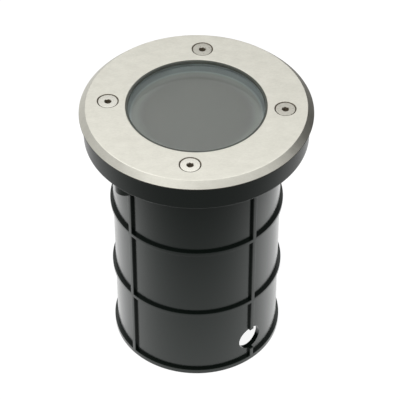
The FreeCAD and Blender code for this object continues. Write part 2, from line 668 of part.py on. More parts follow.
def lead_from_holder(side, pole_x):
    """Lead from a contact's tail, down through the bracket and across to a terminal."""
    x = side * PIN_PITCH / 2
    inside = TERMINAL_Y - TERMINAL_D / 4
    before = TERMINAL_FRONT - LEAD_STRAIGHT
    return routed_lead([(x, 0, POCKET_Z), (x, 0, LEAD_Z), (pole_x, before, LEAD_Z),
                        (pole_x, inside, LEAD_Z)], LEAD_BEND)


def lead_earth():
    """Lead from the first pole to a ring tag under the earth screw."""
    x = pole_xs()[0]
    front = TERMINAL_FRONT
    inside = TERMINAL_Y - TERMINAL_D / 4
    tag_z = BRACKET_BASE_Z + TAG_T / 2
    near = EARTH_X + EARTH_WASHER_R + LEAD_R
    aside, before, down = EARTH_LEAD_SWING
    wire = routed_lead([(x, inside, LEAD_Z), (x, front - EARTH_LEAD_STRAIGHT, LEAD_Z),
                        (x - aside, front - before, LEAD_Z - down), (near, EARTH_Y, tag_z + LEAD_R)],
                       EARTH_LEAD_BEND)
    tag = pipe(EARTH_WASHER_R, M3_R + FIT, BRACKET_BASE_Z, BRACKET_BASE_Z + TAG_T, EARTH_X, EARTH_Y)
    neck = block(EARTH_X + M3_R + TAG_EYE_W, near + LEAD_R, EARTH_Y - LEAD_R, EARTH_Y + LEAD_R,
                 BRACKET_BASE_Z, BRACKET_BASE_Z + TAG_T)
    return fused([wire, tag, neck])


# ---------------------------------------------------------------- cable gland
def gland_body():
    """Hexagon body with the spigot through the can's floor and the thread for the dome nut."""
    spigot_top = CAN_FLOOR_Z + LOCKNUT_H
    shape = fused([
        nut_blank(GLAND_HEX, HEX_BOTTOM_Z, HEX_TOP_Z),
        turned((0, HEX_TOP_Z), (GLAND_R, HEX_TOP_Z), (GLAND_R, spigot_top, -CHAMFER), (0, spigot_top)),
        turned((0, GLAND_END_Z), (GLAND_THREAD_R, GLAND_END_Z, -CHAMFER),
               (GLAND_THREAD_R, HEX_BOTTOM_Z), (0, HEX_BOTTOM_Z))])
    return shape.cut(post(GLAND_BORE_R, GLAND_END_Z, spigot_top))


def gland_washer():
    return pipe(GLAND_WASHER_R, GLAND_R + FIT, HEX_TOP_Z, CAN_BOTTOM_Z)


def gland_locknut():
    high = CAN_FLOOR_Z + LOCKNUT_H
    return nut_blank(LOCKNUT_HEX, CAN_FLOOR_Z, high).cut(post(GLAND_R + FIT, CAN_FLOOR_Z, high))


def gland_seal():
    """Rubber sleeve that grips the cable, with a collar inside the dome nut."""
    top = SEAL_BOTTOM_Z + SEAL_LENGTH
    outer = GLAND_BORE_R - FIT * 2
    collar_top = SEAL_BOTTOM_Z + SEAL_COLLAR_H
    return turned(
        (CABLE_R, SEAL_BOTTOM_Z), (SEAL_COLLAR_R, SEAL_BOTTOM_Z), (SEAL_COLLAR_R, collar_top, -CHAMFER / 2),
        (outer, collar_top), (outer, top), (CABLE_R, top))


def gland_nut():
    """Dome nut over the seal, hexagonal above and rounded below."""
    corner = NUT_HEX / math.sqrt(3)
    blank = nut_blank(NUT_HEX, NUT_BOTTOM_Z, NUT_TOP_Z).common(turned(
        (0, NUT_BOTTOM_Z), (NUT_LIP_R + NUT_DOME, NUT_BOTTOM_Z, -NUT_DOME / 3),
        (corner, NUT_BOTTOM_Z + NUT_DOME * 1.6), (corner, NUT_TOP_Z), (0, NUT_TOP_Z)))
    inside = turned(
        (0, NUT_BOTTOM_Z), (NUT_LIP_R, NUT_BOTTOM_Z), (NUT_LIP_R, NUT_FLOOR_Z),
        (GLAND_THREAD_R + FIT, NUT_FLOOR_Z), (GLAND_THREAD_R + FIT, NUT_TOP_Z), (0, NUT_TOP_Z))
    return blank.cut(inside)


# ---------------------------------------------------------------- every sub-part by name
def sub_parts():
    parts = {
        "mounting_sleeve": mounting_sleeve(),
        "seat_seal": seat_seal(),
        "housing": housing(),
        "fixing_screws": fixing_screws(),
        "trim_ring": trim_ring(),
        "front_glass": glass(),
        "glass_gasket": glass_gasket(),
        "lamp_shell": lamp_shell(),
        "lamp_lens": lamp_lens(),
        "lamp_base": lamp_base(),
        "lamp_pins": lamp_pins(),
        "lampholder": lampholder(),
        "lampholder_contacts": lampholder_contacts(),
        "holder_screws": holder_screws(),
        "lampholder_bracket": lampholder_bracket(),
        "bracket_screws": bracket_screws(),
        "terminal_block": terminal_block(),
        "terminal_screws": terminal_screws(),
        "earth_screw": earth_screw(),
        "lead_live": lead_from_holder(-1, pole_xs()[1]),
        "lead_neutral": lead_from_holder(1, pole_xs()[2]),
        "lead_earth": lead_earth(),
        "gland_body": gland_body(),
        "gland_washer": gland_washer(),
        "gland_locknut": gland_locknut(),
        "gland_seal": gland_seal(),
        "gland_nut": gland_nut(),
    }
    for i, side in enumerate(SCREW_NAMES):
        parts["trim_screw_" + side] = at_azimuth(trim_screw(), 90 * i)
        parts["screw_seal_" + side] = at_azimuth(screw_seal(), 90 * i)
    return parts


os.makedirs("parts", exist_ok=True)
for node, shape in sub_parts().items():
    box = shape.BoundBox
    print("%-20s solids %d  valid %s  volume %9.1f  z %.2f to %.2f" % (
        node, len(shape.Solids), shape.isValid(), shape.Volume, box.ZMin, box.ZMax))
    shape.exportStep("parts/%s.step" % node)
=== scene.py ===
# %% [markdown]
# # In-ground well light
# This lesson dresses a walk-over light: a steel ring and a frosted glass on top, a black
# plastic ground sleeve below, and a lamp unit inside. The working solids already exist, so
# nearly every size here is read from them, and Blender adds the finishes, the fine edges,
# the threads and the studio.

import math

import bmesh
import bpy
from mathutils import Matrix, Vector


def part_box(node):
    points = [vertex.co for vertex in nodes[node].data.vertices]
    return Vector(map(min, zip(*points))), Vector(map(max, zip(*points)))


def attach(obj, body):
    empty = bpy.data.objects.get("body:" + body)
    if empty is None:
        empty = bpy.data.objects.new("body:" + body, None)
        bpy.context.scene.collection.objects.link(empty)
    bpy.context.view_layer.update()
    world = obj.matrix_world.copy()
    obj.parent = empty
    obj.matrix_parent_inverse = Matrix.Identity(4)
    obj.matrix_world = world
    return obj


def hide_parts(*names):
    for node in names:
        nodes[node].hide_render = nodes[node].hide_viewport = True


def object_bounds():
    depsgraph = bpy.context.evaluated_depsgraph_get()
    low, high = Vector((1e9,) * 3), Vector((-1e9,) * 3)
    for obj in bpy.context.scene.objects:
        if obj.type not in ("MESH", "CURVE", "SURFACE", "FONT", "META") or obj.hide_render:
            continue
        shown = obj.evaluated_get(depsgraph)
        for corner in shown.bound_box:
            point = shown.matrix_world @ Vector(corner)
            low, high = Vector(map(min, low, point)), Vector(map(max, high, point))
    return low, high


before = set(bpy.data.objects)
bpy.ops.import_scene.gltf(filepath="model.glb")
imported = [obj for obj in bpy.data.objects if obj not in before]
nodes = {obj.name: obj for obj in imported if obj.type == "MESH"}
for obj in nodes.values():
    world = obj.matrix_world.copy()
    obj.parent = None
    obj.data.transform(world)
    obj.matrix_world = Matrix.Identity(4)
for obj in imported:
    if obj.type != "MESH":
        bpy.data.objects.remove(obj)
cad_low, cad_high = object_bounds()
MM = 0.001
print("the light is", [round((b - a) / MM, 1) for a, b in zip(cad_low, cad_high)], "mm")

# %% [markdown]
# ## Camera
# The photograph looks down on the light from the front with a long lens, so the tube narrows
# only a little towards the ground. The camera's place was worked out from the ellipses of
# the ring and of the sleeve's bands: their widths give the distance, their heights the tilt.

# %% Camera
CAMERA_AZIMUTH = math.radians(4.0)      # the light is turned this far under the camera
CAMERA_BACK = 675.2 * MM                # on the ground, from the light's axis
CAMERA_UP = 716.8 * MM                  # above the sleeve's bottom rim
CAMERA_PITCH = math.radians(43.332)
CAMERA_YAW = math.radians(0.140)
CAMERA_LENS = 171.2                     # focal length in millimetres, on SENSOR_W
SENSOR_W = 36.0
CAMERA_NEAR = 10 * MM                   # what is closer than this doesn't show

camera_data = bpy.data.cameras.new("camera")
camera_data.lens = CAMERA_LENS
camera_data.sensor_width = SENSOR_W
camera_data.clip_start = CAMERA_NEAR
camera = bpy.data.objects.new("camera", camera_data)
bpy.context.scene.collection.objects.link(camera)
camera_way = (math.sin(CAMERA_AZIMUTH), -math.cos(CAMERA_AZIMUTH), 0.0)
camera.location = (CAMERA_BACK * camera_way[0], CAMERA_BACK * camera_way[1], CAMERA_UP)
camera.rotation_euler = (math.pi / 2 - CAMERA_PITCH, 0.0, CAMERA_AZIMUTH - CAMERA_YAW)
bpy.context.scene.camera = camera
bpy.context.scene.view_settings.view_transform = "Standard"
print("camera", round((camera.location - (cad_low + cad_high) / 2).length, 3), "m from the light")

# %% [markdown]
# ## Shader maths
# A finish is easier to read as arithmetic than as a web of nodes. `Signal` wraps one socket,
# and its operators add Math nodes, so that `1.0 - mask` works as it does on numbers.

# %% Signals
class Signal:
    """One output socket; + - * / and ** on it add Math nodes."""

    def __init__(self, shader, socket):
        self.shader = shader
        self.socket = socket

    def maths(self, operation, first, second):
        return self.shader.node("ShaderNodeMath", {"operation": operation}, {0: first, 1: second})

    def __add__(self, other):
        return self.maths("ADD", self, other)

    def __radd__(self, other):
        return self.maths("ADD", other, self)

    def __sub__(self, other):
        return self.maths("SUBTRACT", self, other)

    def __rsub__(self, other):
        return self.maths("SUBTRACT", other, self)

    def __mul__(self, other):
        return self.maths("MULTIPLY", self, other)

    def __rmul__(self, other):
        return self.maths("MULTIPLY", other, self)

    def __truediv__(self, other):
        return self.maths("DIVIDE", self, other)

    def __rtruediv__(self, other):
        return self.maths("DIVIDE", other, self)

    def __pow__(self, other):
        return self.maths("POWER", self, other)

    def __rpow__(self, other):
        return self.maths("POWER", other, self)


print("sockets can be added, subtracted, multiplied, divided and raised to a power")

# %% [markdown]
# ## Nodes from one method
# `Shader.node` makes any other node from its type, its settings and its sockets. The methods
# after it are the few nodes that most finishes share: a mix of two colours, the object's own
# coordinates, noise, a smooth step and a bump. Vectors go through Vector Math, because a
# Math node would keep one number of the three.

# %% Shaders
class Shader:
    """A node tree that is written as expressions."""

    def __init__(self, tree):
        self.tree = tree
        self.tree.nodes.clear()

    def node(self, kind, settings=None, sockets=None, output=0):
        """Makes a node and gives the Signal of one output, or nothing if output is None."""
        made = self.tree.nodes.new(kind)
        for key, value in (settings or {}).items():
            setattr(made, key, value)
        for key, value in (sockets or {}).items():
            if isinstance(value, Signal):
                self.tree.links.new(value.socket, made.inputs[key])
            else:
                made.inputs[key].default_value = value
        return Signal(self, made.outputs[output]) if output is not None else None

    def mix(self, factor, first, second):
        """A colour between two colours."""
        wide = [c if isinstance(c, Signal) else (*c, 1.0) for c in (first, second)]
        return self.node("ShaderNodeMix", {"data_type": "RGBA"},
                         {0: factor, 6: wide[0], 7: wide[1]}, 2)

    def place(self, stretch=(1.0, 1.0, 1.0)):
        """The object's own coordinates in metres, stretched so that grain can run one way."""
        here = self.node("ShaderNodeTexCoord", output="Object")
        return self.node("ShaderNodeVectorMath", {"operation": "MULTIPLY"}, {0: here, 1: stretch})

    def along(self, vector, way):
        """How far a vector reaches in one direction."""
        return self.node("ShaderNodeVectorMath", {"operation": "DOT_PRODUCT"},
                         {0: vector, 1: way}, "Value")

    def length(self, vector):
        return self.node("ShaderNodeVectorMath", {"operation": "LENGTH"}, {0: vector}, "Value")

    def grain(self, size, stretch=(1.0, 1.0, 1.0), detail=3.0, roughness=0.5):
        """Noise from 0 to 1 whose lumps are about size metres across."""
        return self.node("ShaderNodeTexNoise", None, {
            "Vector": self.place(stretch), "Scale": 1.0 / size, "Detail": detail,
            "Roughness": roughness})

    def between(self, value, low, high, shape="SMOOTHSTEP"):
        """0 where value is low, 1 where it is high, and smooth or LINEAR in between."""
        return self.node("ShaderNodeMapRange", {"interpolation_type": shape}, {
            "Value": value, "From Min": low, "From Max": high, "To Min": 0.0, "To Max": 1.0})

    def bump(self, height, depth, strength=0.5):
        return self.node("ShaderNodeBump", None, {
            "Height": height, "Distance": depth, "Strength": strength})


print("shaders are written as expressions")

# %% [markdown]
# ## Finishes
# A finish is a material with one Principled shader. A function of the shader gives what
# varies over the surface: colour, roughness and a fine bump. Numbers that are the same all
# over are set on the shader's own sockets, so they reach any other program as they are.

# %% Finish
def finish(name, build, plain=None):
    """A material: build(shader) gives the sockets that vary, and plain gives the others."""
    material = bpy.data.materials.new(name)
    material.use_nodes = True
    shader = Shader(material.node_tree)
    surface = shader.node("ShaderNodeBsdfPrincipled", None, {**(plain or {}), **build(shader)})
    shader.node("ShaderNodeOutputMaterial", None, {"Surface": surface}, None)
    return material


print("a finish is a name, a function and a few plain values")

# %% [markdown]
# ## Who is looking
# The studio shows different things to different rays. The Light Path node tells them apart:
# the camera, and the rays that reach it through glass, see plain white paper and air, while
# glossy rays see a photographer's tent.

# %% Kinds of rays
def sees(shader, kind):
    """1 for rays of one kind, such as Camera or Glossy, and 0 for all others."""
    return shader.node("ShaderNodeLightPath", output="Is " + kind + " Ray")


def plain_view(shader):
    """1 where the camera looks straight at something, or at it through glass."""
    straight = sees(shader, "Camera")
    return straight + sees(shader, "Transmission") * (1.0 - straight)


print("camera and glass rays share one plain view")

# %% [markdown]
# ## Studio
# The light stands on white paper in a white tent, so what the steel and the plastic show is
# mostly white surround. The tent brightens upwards, so the near side of the steel is lighter
# than the far side, and it has a dark gap behind the light on the right: that gap turns the
# right side of the ring's bevel dark. The slit that the camera looks through is dimmer, and
# so is the roof, or the ring would clip to white from straight above.
# Diffuse rays get a plain level, so colours come out about as they are written.

# %% World
TENT_LOW = 0.55          # brightness of the tent up to TENT_FOOT
TENT_HIGH = 1.49         # and from TENT_TOP upwards
TENT_FOOT = 0.61         # heights on the unit sphere
TENT_TOP = 0.74
ROOF_FROM = 0.84         # the roof is dimmer again between these heights
ROOF_TO = 0.97
ROOF_DIM = 0.30
SLIT_WAY = Vector((0.35, -0.75, 0.55)).normalized()
SLIT_DIM = 0.33          # how much darker the tent is where the camera looks in
SLIT_EDGE = 0.62         # cosine where that starts
GAP_WAY = Vector((0.68, 0.73, 0.0)).normalized()
GAP_SHADE = 0.05         # brightness in the gap
GAP_EDGE = 0.45          # cosine where the gap starts
FILL = 0.72              # what diffuse rays see

world = bpy.data.worlds.new("tent")
world.use_nodes = True
bpy.context.scene.world = world
air = Shader(world.node_tree)
way = air.node("ShaderNodeTexCoord", output="Generated")
height = air.node("ShaderNodeSeparateXYZ", None, {0: way}, "Z")
rise = TENT_LOW + (TENT_HIGH - TENT_LOW) * air.between(height, TENT_FOOT, TENT_TOP)
gap = air.between(air.along(way, GAP_WAY), GAP_EDGE, 1.0)
slit = SLIT_DIM * air.between(air.along(way, SLIT_WAY), SLIT_EDGE, 1.0)
roof = ROOF_DIM * air.between(height, ROOF_FROM, ROOF_TO)
tent = (rise * (1.0 - gap) + gap * GAP_SHADE) * (1.0 - slit) * (1.0 - roof)
open_air = plain_view(air)
glossy = sees(air, "Glossy") * (1.0 - open_air)
level = open_air + glossy * tent + (1.0 - open_air - glossy) * FILL
glow = air.node("ShaderNodeBackground", None, {"Color": (1.0, 1.0, 1.0, 1.0), "Strength": level})
air.node("ShaderNodeOutputWorld", None, {"Surface": glow}, None)
print("tent of", len(world.node_tree.nodes), "nodes, from", TENT_LOW, "up to", TENT_HIGH)

# %% [markdown]
# ## Floor
# The paper is a plain square. Looking down on an upright tube, every reflection in it is a
# reflection of this paper, so it is shaped for glossy rays too: bright beside the tube,
# fading towards the camera, where no lamp reaches it, and dark in the gap of the tent.

# %% Paper sheet
FLOOR_SIZE = 4.0
FLOOR_DROP = 0.02 * MM   # below the sleeve's bottom rim

half = FLOOR_SIZE / 2
floor_mesh = bpy.data.meshes.new("floor")
floor_mesh.from_pydata([(-half, -half, 0), (half, -half, 0), (half, half, 0), (-half, half, 0)],
                       [], [(0, 1, 2, 3)])
floor = bpy.data.objects.new("floor", floor_mesh)
bpy.context.scene.collection.objects.link(floor)
floor.location.z = cad_low[2] - FLOOR_DROP
print("paper", FLOOR_SIZE, "m wide,", FLOOR_DROP / MM, "mm below the light")

# %% The paper in the steel and the plastic
FLOOR_BESIDE = 1.34      # what glossy rays see beside the tube
POOL_FROM = 0.105        # the lamps' pool of light fades between these distances
POOL_TO = 0.190
POOL_EDGE = 0.34         # down to this share
FADE_FROM = 10 * MM      # it fades to nothing between these distances towards the camera
FADE_TO = 242 * MM
FADE_CURVE = 1.85
GAP_FROM = 0.15          # the gap's distances from the axis, in metres
GAP_TO = 0.40

paper_material = bpy.data.materials.new("paper")
paper_material.use_nodes = True
paper = Shader(paper_material.node_tree)
spot = paper.node("ShaderNodeTexCoord", output="Object")
away = paper.length(spot)
still_lit = 1.0 - paper.between(paper.along(spot, camera_way), FADE_FROM, FADE_TO, "LINEAR")
pool = 1.0 - (1.0 - POOL_EDGE) * paper.between(away, POOL_FROM, POOL_TO)
near_level = FLOOR_BESIDE * still_lit ** FADE_CURVE * pool
in_gap = paper.between(paper.along(spot, GAP_WAY) / away, GAP_EDGE, 1.0)
far_level = (1.0 - in_gap) * TENT_LOW + in_gap * GAP_SHADE
far_off = paper.between(away, GAP_FROM, GAP_TO)
mirrored = near_level * (1.0 - far_off) + far_level * far_off
print("mirrored paper:", FLOOR_BESIDE, "beside the tube and", TENT_LOW, "far off")

# %% [markdown]
# ## What the paper is
# To the camera the paper is white, and that white is a glow, because a lamp strong enough to
# light it would burn out the steel. The diffuse part under it is dark grey and keeps the soft
# shadow at the foot. From below the paper is clear, so that the underside can be looked at.

# %% Paper
FLOOR_GLOW = 0.92        # what the camera sees, without the lamps' share
FLOOR_PAPER = 0.16
FLOOR_MOTTLE = 0.97      # share of that in its darker clouds
MOTTLE_SIZE = 60 * MM

camera_sees = plain_view(paper)
sheet_colour = paper.mix(paper.grain(MOTTLE_SIZE, detail=1.0), (FLOOR_PAPER,) * 3,
                         (FLOOR_PAPER * FLOOR_MOTTLE,) * 3)
diffuse = paper.node("ShaderNodeBsdfDiffuse", None, {"Color": sheet_colour})
glow = paper.node("ShaderNodeEmission", None, {
    "Strength": camera_sees * FLOOR_GLOW + sees(paper, "Glossy") * (1.0 - camera_sees) * mirrored})
both = paper.node("ShaderNodeAddShader", None, {0: diffuse, 1: glow})
underside = paper.node("ShaderNodeNewGeometry", output="Backfacing")
clear = paper.node("ShaderNodeBsdfTransparent", None, {"Color": (1.0, 1.0, 1.0, 1.0)})
one_sided = paper.node("ShaderNodeMixShader", None, {0: underside, 1: both, 2: clear})
paper.node("ShaderNodeOutputMaterial", None, {"Surface": one_sided}, None)
floor_mesh.materials.append(paper_material)
print("paper of", len(paper_material.node_tree.nodes), "nodes")

# %% [markdown]
# ## Lamps
# One broad lamp above the camera's left gives the plastic its form, and a weaker one on the
# right opens the shadow side. Both are large and soft, so no hard highlight appears.

# %% Lamps
LAMP_ACROSS = 0.9
LAMP_AIM = Vector((0, 0, 0.07))      # the middle of the light
LAMPS = {                            # each lamp's place and its power in watts
    "key": ((-0.7, -0.9, 1.3), 9.0),
    "fill": ((1.1, -0.5, 0.9), 3.0),
}

for name, (place, watts) in LAMPS.items():
    data = bpy.data.lights.new(name, "AREA")
    data.shape = "DISK"
    data.size = LAMP_ACROSS
    data.energy = watts
    lamp = bpy.data.objects.new(name, data)
    bpy.context.scene.collection.objects.link(lamp)
    lamp.location = place
    lamp.rotation_euler = (LAMP_AIM - Vector(place)).to_track_quat("-Z", "Y").to_euler()
    lamp.visible_glossy = False
    print(name, "lamp of", watts, "W")

# %% [markdown]
# ## Turned pieces
# Almost every piece of this light was turned, cast or moulded round one axis. `lathe` spins
# a profile of (radius, height) corners. A third number rounds the corner, which gives edges
# that catch the light as real ones do. A modifier could spin the profile too, but written
# out in bmesh the same function can also press a thread into the surface.

# %% Rounded corners
ROUND_STEPS = 3
HAIR = 0.1 * MM          # the roundings that the profiles below share
FINE = 0.2 * MM
EASY = 0.3 * MM
BLUNT = 0.5 * MM


def rounded(profile):
    """The profile with each (r, z, rounding) corner replaced by points on its arc."""
    points = []
    count = len(profile)
    for i, corner in enumerate(profile):
        here = Vector(corner[:2])
        if len(corner) < 3:
            points.append(here)
            continue
        before = (Vector(profile[i - 1][:2]) - here).normalized()
        after = (Vector(profile[(i + 1) % count][:2]) - here).normalized()
        bend = before.angle(after) / 2
        centre = here + (before + after).normalized() * (corner[2] / math.sin(bend))
        start = here + before * (corner[2] / math.tan(bend)) - centre
        sweep = start.angle_signed(here + after * (corner[2] / math.tan(bend)) - centre)
        for step in range(ROUND_STEPS + 1):
            points.append(centre + Matrix.Rotation(-sweep * step / ROUND_STEPS, 2) @ start)
    return points


square = [(0, 0, 1), (9, 0, 1), (9, 9, 1), (0, 9, 1)]
print("a square with rounded corners has", len(rounded(square)), "points")

# %% Lathe
SEGMENTS = 192
ON_AXIS = 1e-7           # a smaller radius than this is a point on the axis


def lathe(profile, segments=SEGMENTS, press=None, x=0.0, y=0.0):
    """A bmesh spun from a closed profile; press(radius, height, angle) gives a new radius."""
    made = bmesh.new()
    rows = []
    for r, z in rounded(profile):
        if r < ON_AXIS:
            rows.append([made.verts.new((x, y, z))])
            continue
        row = []
        for k in range(segments):
            angle = 2 * math.pi * k / segments
            reach = press(r, z, angle) if press else r
            east, north = reach * math.cos(angle), reach * math.sin(angle)
            row.append(made.verts.new((x + east, y + north, z)))
        rows.append(row)
    for i, low in enumerate(rows):
        high = rows[(i + 1) % len(rows)]
        if len(low) == 1 and len(high) == 1:
            continue
        for k in range(segments):
            after = (k + 1) % segments
            ring = [low[k % len(low)], low[after % len(low)],
                    high[after % len(high)], high[k % len(high)]]
            made.faces.new(list(dict.fromkeys(ring)))
    bmesh.ops.recalc_face_normals(made, faces=made.faces)
    return made


print("the lathe turns in", SEGMENTS, "steps")

# %% [markdown]
# ## Threads
# A thread is a groove that climbs one pitch in each turn. `thread` makes a press for the
# lathe that lowers the surface there, and `rows_between` gives the wall enough rows to bend.

# %% Threads
ROWS_A_TURN = 8          # rows of points in one pitch of a thread
ON_THE_CORE = 1e-6       # a row this close to the thread's radius gets the groove


def thread(core, depth, pitch, low, high):
    """A press for lathe: a helical groove between two heights that fades at both ends."""
    def press(r, z, angle):
        if abs(r - core) > ON_THE_CORE or not low <= z <= high:
            return r
        phase = (z / pitch - angle / (2 * math.pi)) % 1.0
        fade = min(1.0, (z - low) / pitch, (high - z) / pitch)
        return r - depth * fade * abs(2 * phase - 1)
    return press


def rows_between(radius, low, high, step):
    """Extra profile points up a wall, no further apart than about one step."""
    count = max(1, round((high - low) / step))
    return [(radius, low + (high - low) * i / count) for i in range(count + 1)]


print("a 10 mm thread of 1 mm pitch takes", len(rows_between(1, 0, 10, 1 / ROWS_A_TURN)), "rows")

# %% [markdown]
# ## Prisms and boxes
# Key sockets and spanner flats are prisms, and the sleeve's ribs start as boxes.

# %% Prism and box
HEXAGON = 6


def prism(across_flats, low, high, x=0.0, y=0.0, turn=0.0):
    """An upright hexagonal prism, such as a key socket."""
    made = bmesh.new()
    corner = across_flats / 2 / math.cos(math.pi / HEXAGON)
    rings = [[made.verts.new((x + corner * math.cos(turn + 2 * math.pi * k / HEXAGON),
                              y + corner * math.sin(turn + 2 * math.pi * k / HEXAGON), z))
              for k in range(HEXAGON)] for z in (low, high)]
    made.faces.new(list(reversed(rings[0])))
    made.faces.new(rings[1])
    for k in range(HEXAGON):
        after = (k + 1) % HEXAGON
        made.faces.new((rings[0][k], rings[0][after], rings[1][after], rings[1][k]))
    return made


def box_mesh(low, high):
    """A box between two opposite corners."""
    made = bmesh.new()
    bmesh.ops.create_cube(made, size=1.0)
    size = Vector(high) - Vector(low)
    middle = (Vector(high) + Vector(low)) / 2
    for v in made.verts:
        v.co = Vector((v.co.x * size.x, v.co.y * size.y, v.co.z * size.z)) + middle
    return made


def spun(made, degrees):
    """The bmesh turned about the light's axis."""
    bmesh.ops.rotate(made, verts=made.verts, cent=(0.0, 0.0, 0.0),
                     matrix=Matrix.Rotation(math.radians(degrees), 3, "Z"))
    return made


print("prisms have", HEXAGON, "sides")

# %% [markdown]
# ## Cutting and joining
# Holes, sockets and ribs come from booleans between closed meshes. The modifier runs once
# and its result becomes the mesh, so the cutter can go.

# %% Cutting and joining
def make_object(name, made):
    """A bmesh as an object in the scene."""
    mesh = bpy.data.meshes.new(name)
    made.to_mesh(mesh)
    made.free()
    thing = bpy.data.objects.new(name, mesh)
    bpy.context.scene.collection.objects.link(thing)
    return thing


def apply_modifier(thing):
    """The mesh that the modifier gives takes the place of the object's own."""
    before = thing.data
    graph = bpy.context.evaluated_depsgraph_get()
    after = bpy.data.meshes.new_from_object(thing.evaluated_get(graph))
    thing.modifiers.clear()
    thing.data = after
    bpy.data.meshes.remove(before)


def carved(thing, operation, cutters):
    """Runs a boolean with each cutter on the object, and deletes the cutters."""
    for cutter in cutters:
        tool = make_object("cutter", cutter)
        cut = thing.modifiers.new("cut", "BOOLEAN")
        cut.operation = operation
        cut.solver = "EXACT"
        cut.object = tool
        apply_modifier(thing)
        bpy.data.objects.remove(tool)


def together(parts):
    """Several bmeshes as one."""
    whole = bmesh.new()
    for part in parts:
        mesh = bpy.data.meshes.new("part")
        part.to_mesh(mesh)
        part.free()
        whole.from_mesh(mesh)
        bpy.data.meshes.remove(mesh)
    return whole


print("ready to cut and join")

# %% [markdown]
# ## Seating a piece
# Each piece made here is shaded smoothly between its sharp edges, gets its material, and is
# seated on the body that carries it. The weighted normals let each broad wall keep its own
# direction, so that a small fillet beside it doesn't bend its reflections.

# %% Seating
SHARP = math.radians(32)
FACE_WEIGHT = 100        # the largest faces decide the normals


def dress(thing, body, slot, material, *replaced):
    """Shades the piece, gives it a material and seats it on its body."""
    thing.data.shade_smooth()
    thing.data.set_sharp_from_angle(angle=SHARP)
    even = thing.modifiers.new("even", "WEIGHTED_NORMAL")
    even.keep_sharp = True
    even.weight = FACE_WEIGHT
    apply_modifier(thing)
    thing.data.materials.clear()
    thing.data.materials.append(material)
    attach(thing, body)
    if replaced:
        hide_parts(*replaced)
    print(thing.name, len(thing.data.polygons), "faces")


def refinish(thing, material, inside):
    """Gives another finish to the faces whose middle and normal pass the test."""
    thing.data.materials.append(material)
    chosen = [face for face in thing.data.polygons if inside(face.center, face.normal)]
    for face in chosen:
        face.material_index = len(thing.data.materials) - 1
    print(thing.name, len(chosen), "faces of", material.name)


print("edges over", round(math.degrees(SHARP)), "degrees stay sharp")

# %% [markdown]
# ## Reading sizes from the frame
# The solids know their own radii, so they are measured instead of written again. `radii`
# gives the smallest and largest distance of a solid's corners from an upright axis.

# %% Measure
NEAR = 0.01 * MM         # corners this close to a height belong to it


def radii(node, low=-1.0, high=1.0, x=0.0, y=0.0):
    reach = [math.hypot(v.co.x - x, v.co.y - y)
             for v in nodes[node].data.vertices if low <= v.co.z <= high]
    return min(reach), max(reach)


ring_low, ring_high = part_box("trim_ring")
TOP = ring_high.z
RING_FOOT = ring_low.z
RING_R = ring_high.x
OPENING_R = radii("trim_ring")[0]
BEVEL = RING_R - radii("trim_ring", TOP - NEAR)[1]
REBATE_R = radii("trim_ring", RING_FOOT - NEAR, RING_FOOT + NEAR)[0]
glass_low, glass_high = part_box("front_glass")
GLASS_R = glass_high.x
GLASS_LIP = glass_high.z
gasket_low, gasket_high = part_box("glass_gasket")
print("ring", round(RING_R / MM, 2), "opening", round(OPENING_R / MM, 2),
      "bevel", round(BEVEL / MM, 2))

SIDES = {"front": (0, -1), "right": (1, 0), "back": (0, 1), "left": (-1, 0)}   # from the axis
screw_low, screw_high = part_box("trim_screw_front")
SCREW_CIRCLE = -(screw_low.y + screw_high.y) / 2
HEAD_R = (screw_high.x - screw_low.x) / 2
HEAD_TOP = screw_high.z
print("screws on radius", round(SCREW_CIRCLE / MM, 2), "head radius", round(HEAD_R / MM, 2))

# %% [markdown]
# ## Steel
# The ring is stamped from satin stainless sheet. Seen up close it has a short, faint grain
# and soft clouds where the rolling left it a little rougher. The grain feeds roughness and a
# very shallow bump, the clouds the colour, so the face stays calm from a step away. Two of
# the screws get a darker copy of the steel as painted shade, and the ring's outer wall is
# painted near-black steel as the shade line under its edge.

# %% Steel finishes
def satin_sheet(s):
    cloud = s.grain(4 * MM, (0.6, 1.0, 1.0), detail=5.0, roughness=0.70)
    streak = s.grain(0.6 * MM, (0.40, 1.0, 1.0), roughness=0.6)
    scratch = s.grain(0.25 * MM, (0.04, 1.0, 1.0), detail=2.0)
    worn = cloud * 0.6 + streak * 0.4
    return {
        "Base Color": s.mix(worn, (0.640, 0.626, 0.545), (1.000, 0.984, 0.890)),
        "Roughness": 0.25 + 0.10 * cloud + 0.08 * streak,
        "Normal": s.bump(scratch, 0.003 * MM, 0.6),
    }


def turned_steel(s):
    spot = s.grain(0.9 * MM, detail=2.0)
    return {
        "Base Color": s.mix(spot, (0.80, 0.785, 0.705), (0.90, 0.885, 0.805)),
        "Roughness": 0.13 + 0.12 * spot,
        "Normal": s.bump(spot, 0.004 * MM),
    }


# Painted shade: a darker copy of the screws' steel, for the two screws whose heads look shaded.
def darker_screw_shade(s):
    spot = s.grain(1.2 * MM)
    return {
        "Base Color": s.mix(spot, (0.50, 0.485, 0.420), (0.72, 0.70, 0.63)),
        "Roughness": 0.22 + 0.16 * spot,
        "Normal": s.bump(spot, 0.004 * MM),
    }


# Painted shade: near-black steel on the ring's outer wall stands in for the shade line under its
# edge.
def painted_rim_shade_steel(s):
    rim_mottle = s.grain(0.5 * MM, (1.0, 1.0, 0.3), detail=2.0)
    return {
        "Base Color": s.mix(rim_mottle, (0.050, 0.047, 0.038), (0.085, 0.080, 0.066)),
        "Roughness": 0.50 + 0.20 * rim_mottle,
    }


METAL = {"Metallic": 1.0}
steel_sheet = finish("satin_steel_sheet", satin_sheet, METAL)
steel_bright = finish("bright_steel", turned_steel, METAL)
steel_painted_darker = finish("darker_screw_shade", darker_screw_shade, METAL)
rim_shade_steel = finish("painted_rim_shade", painted_rim_shade_steel, METAL)
print("four steels:", steel_sheet.name, steel_bright.name, steel_painted_darker.name, rim_shade_steel.name)
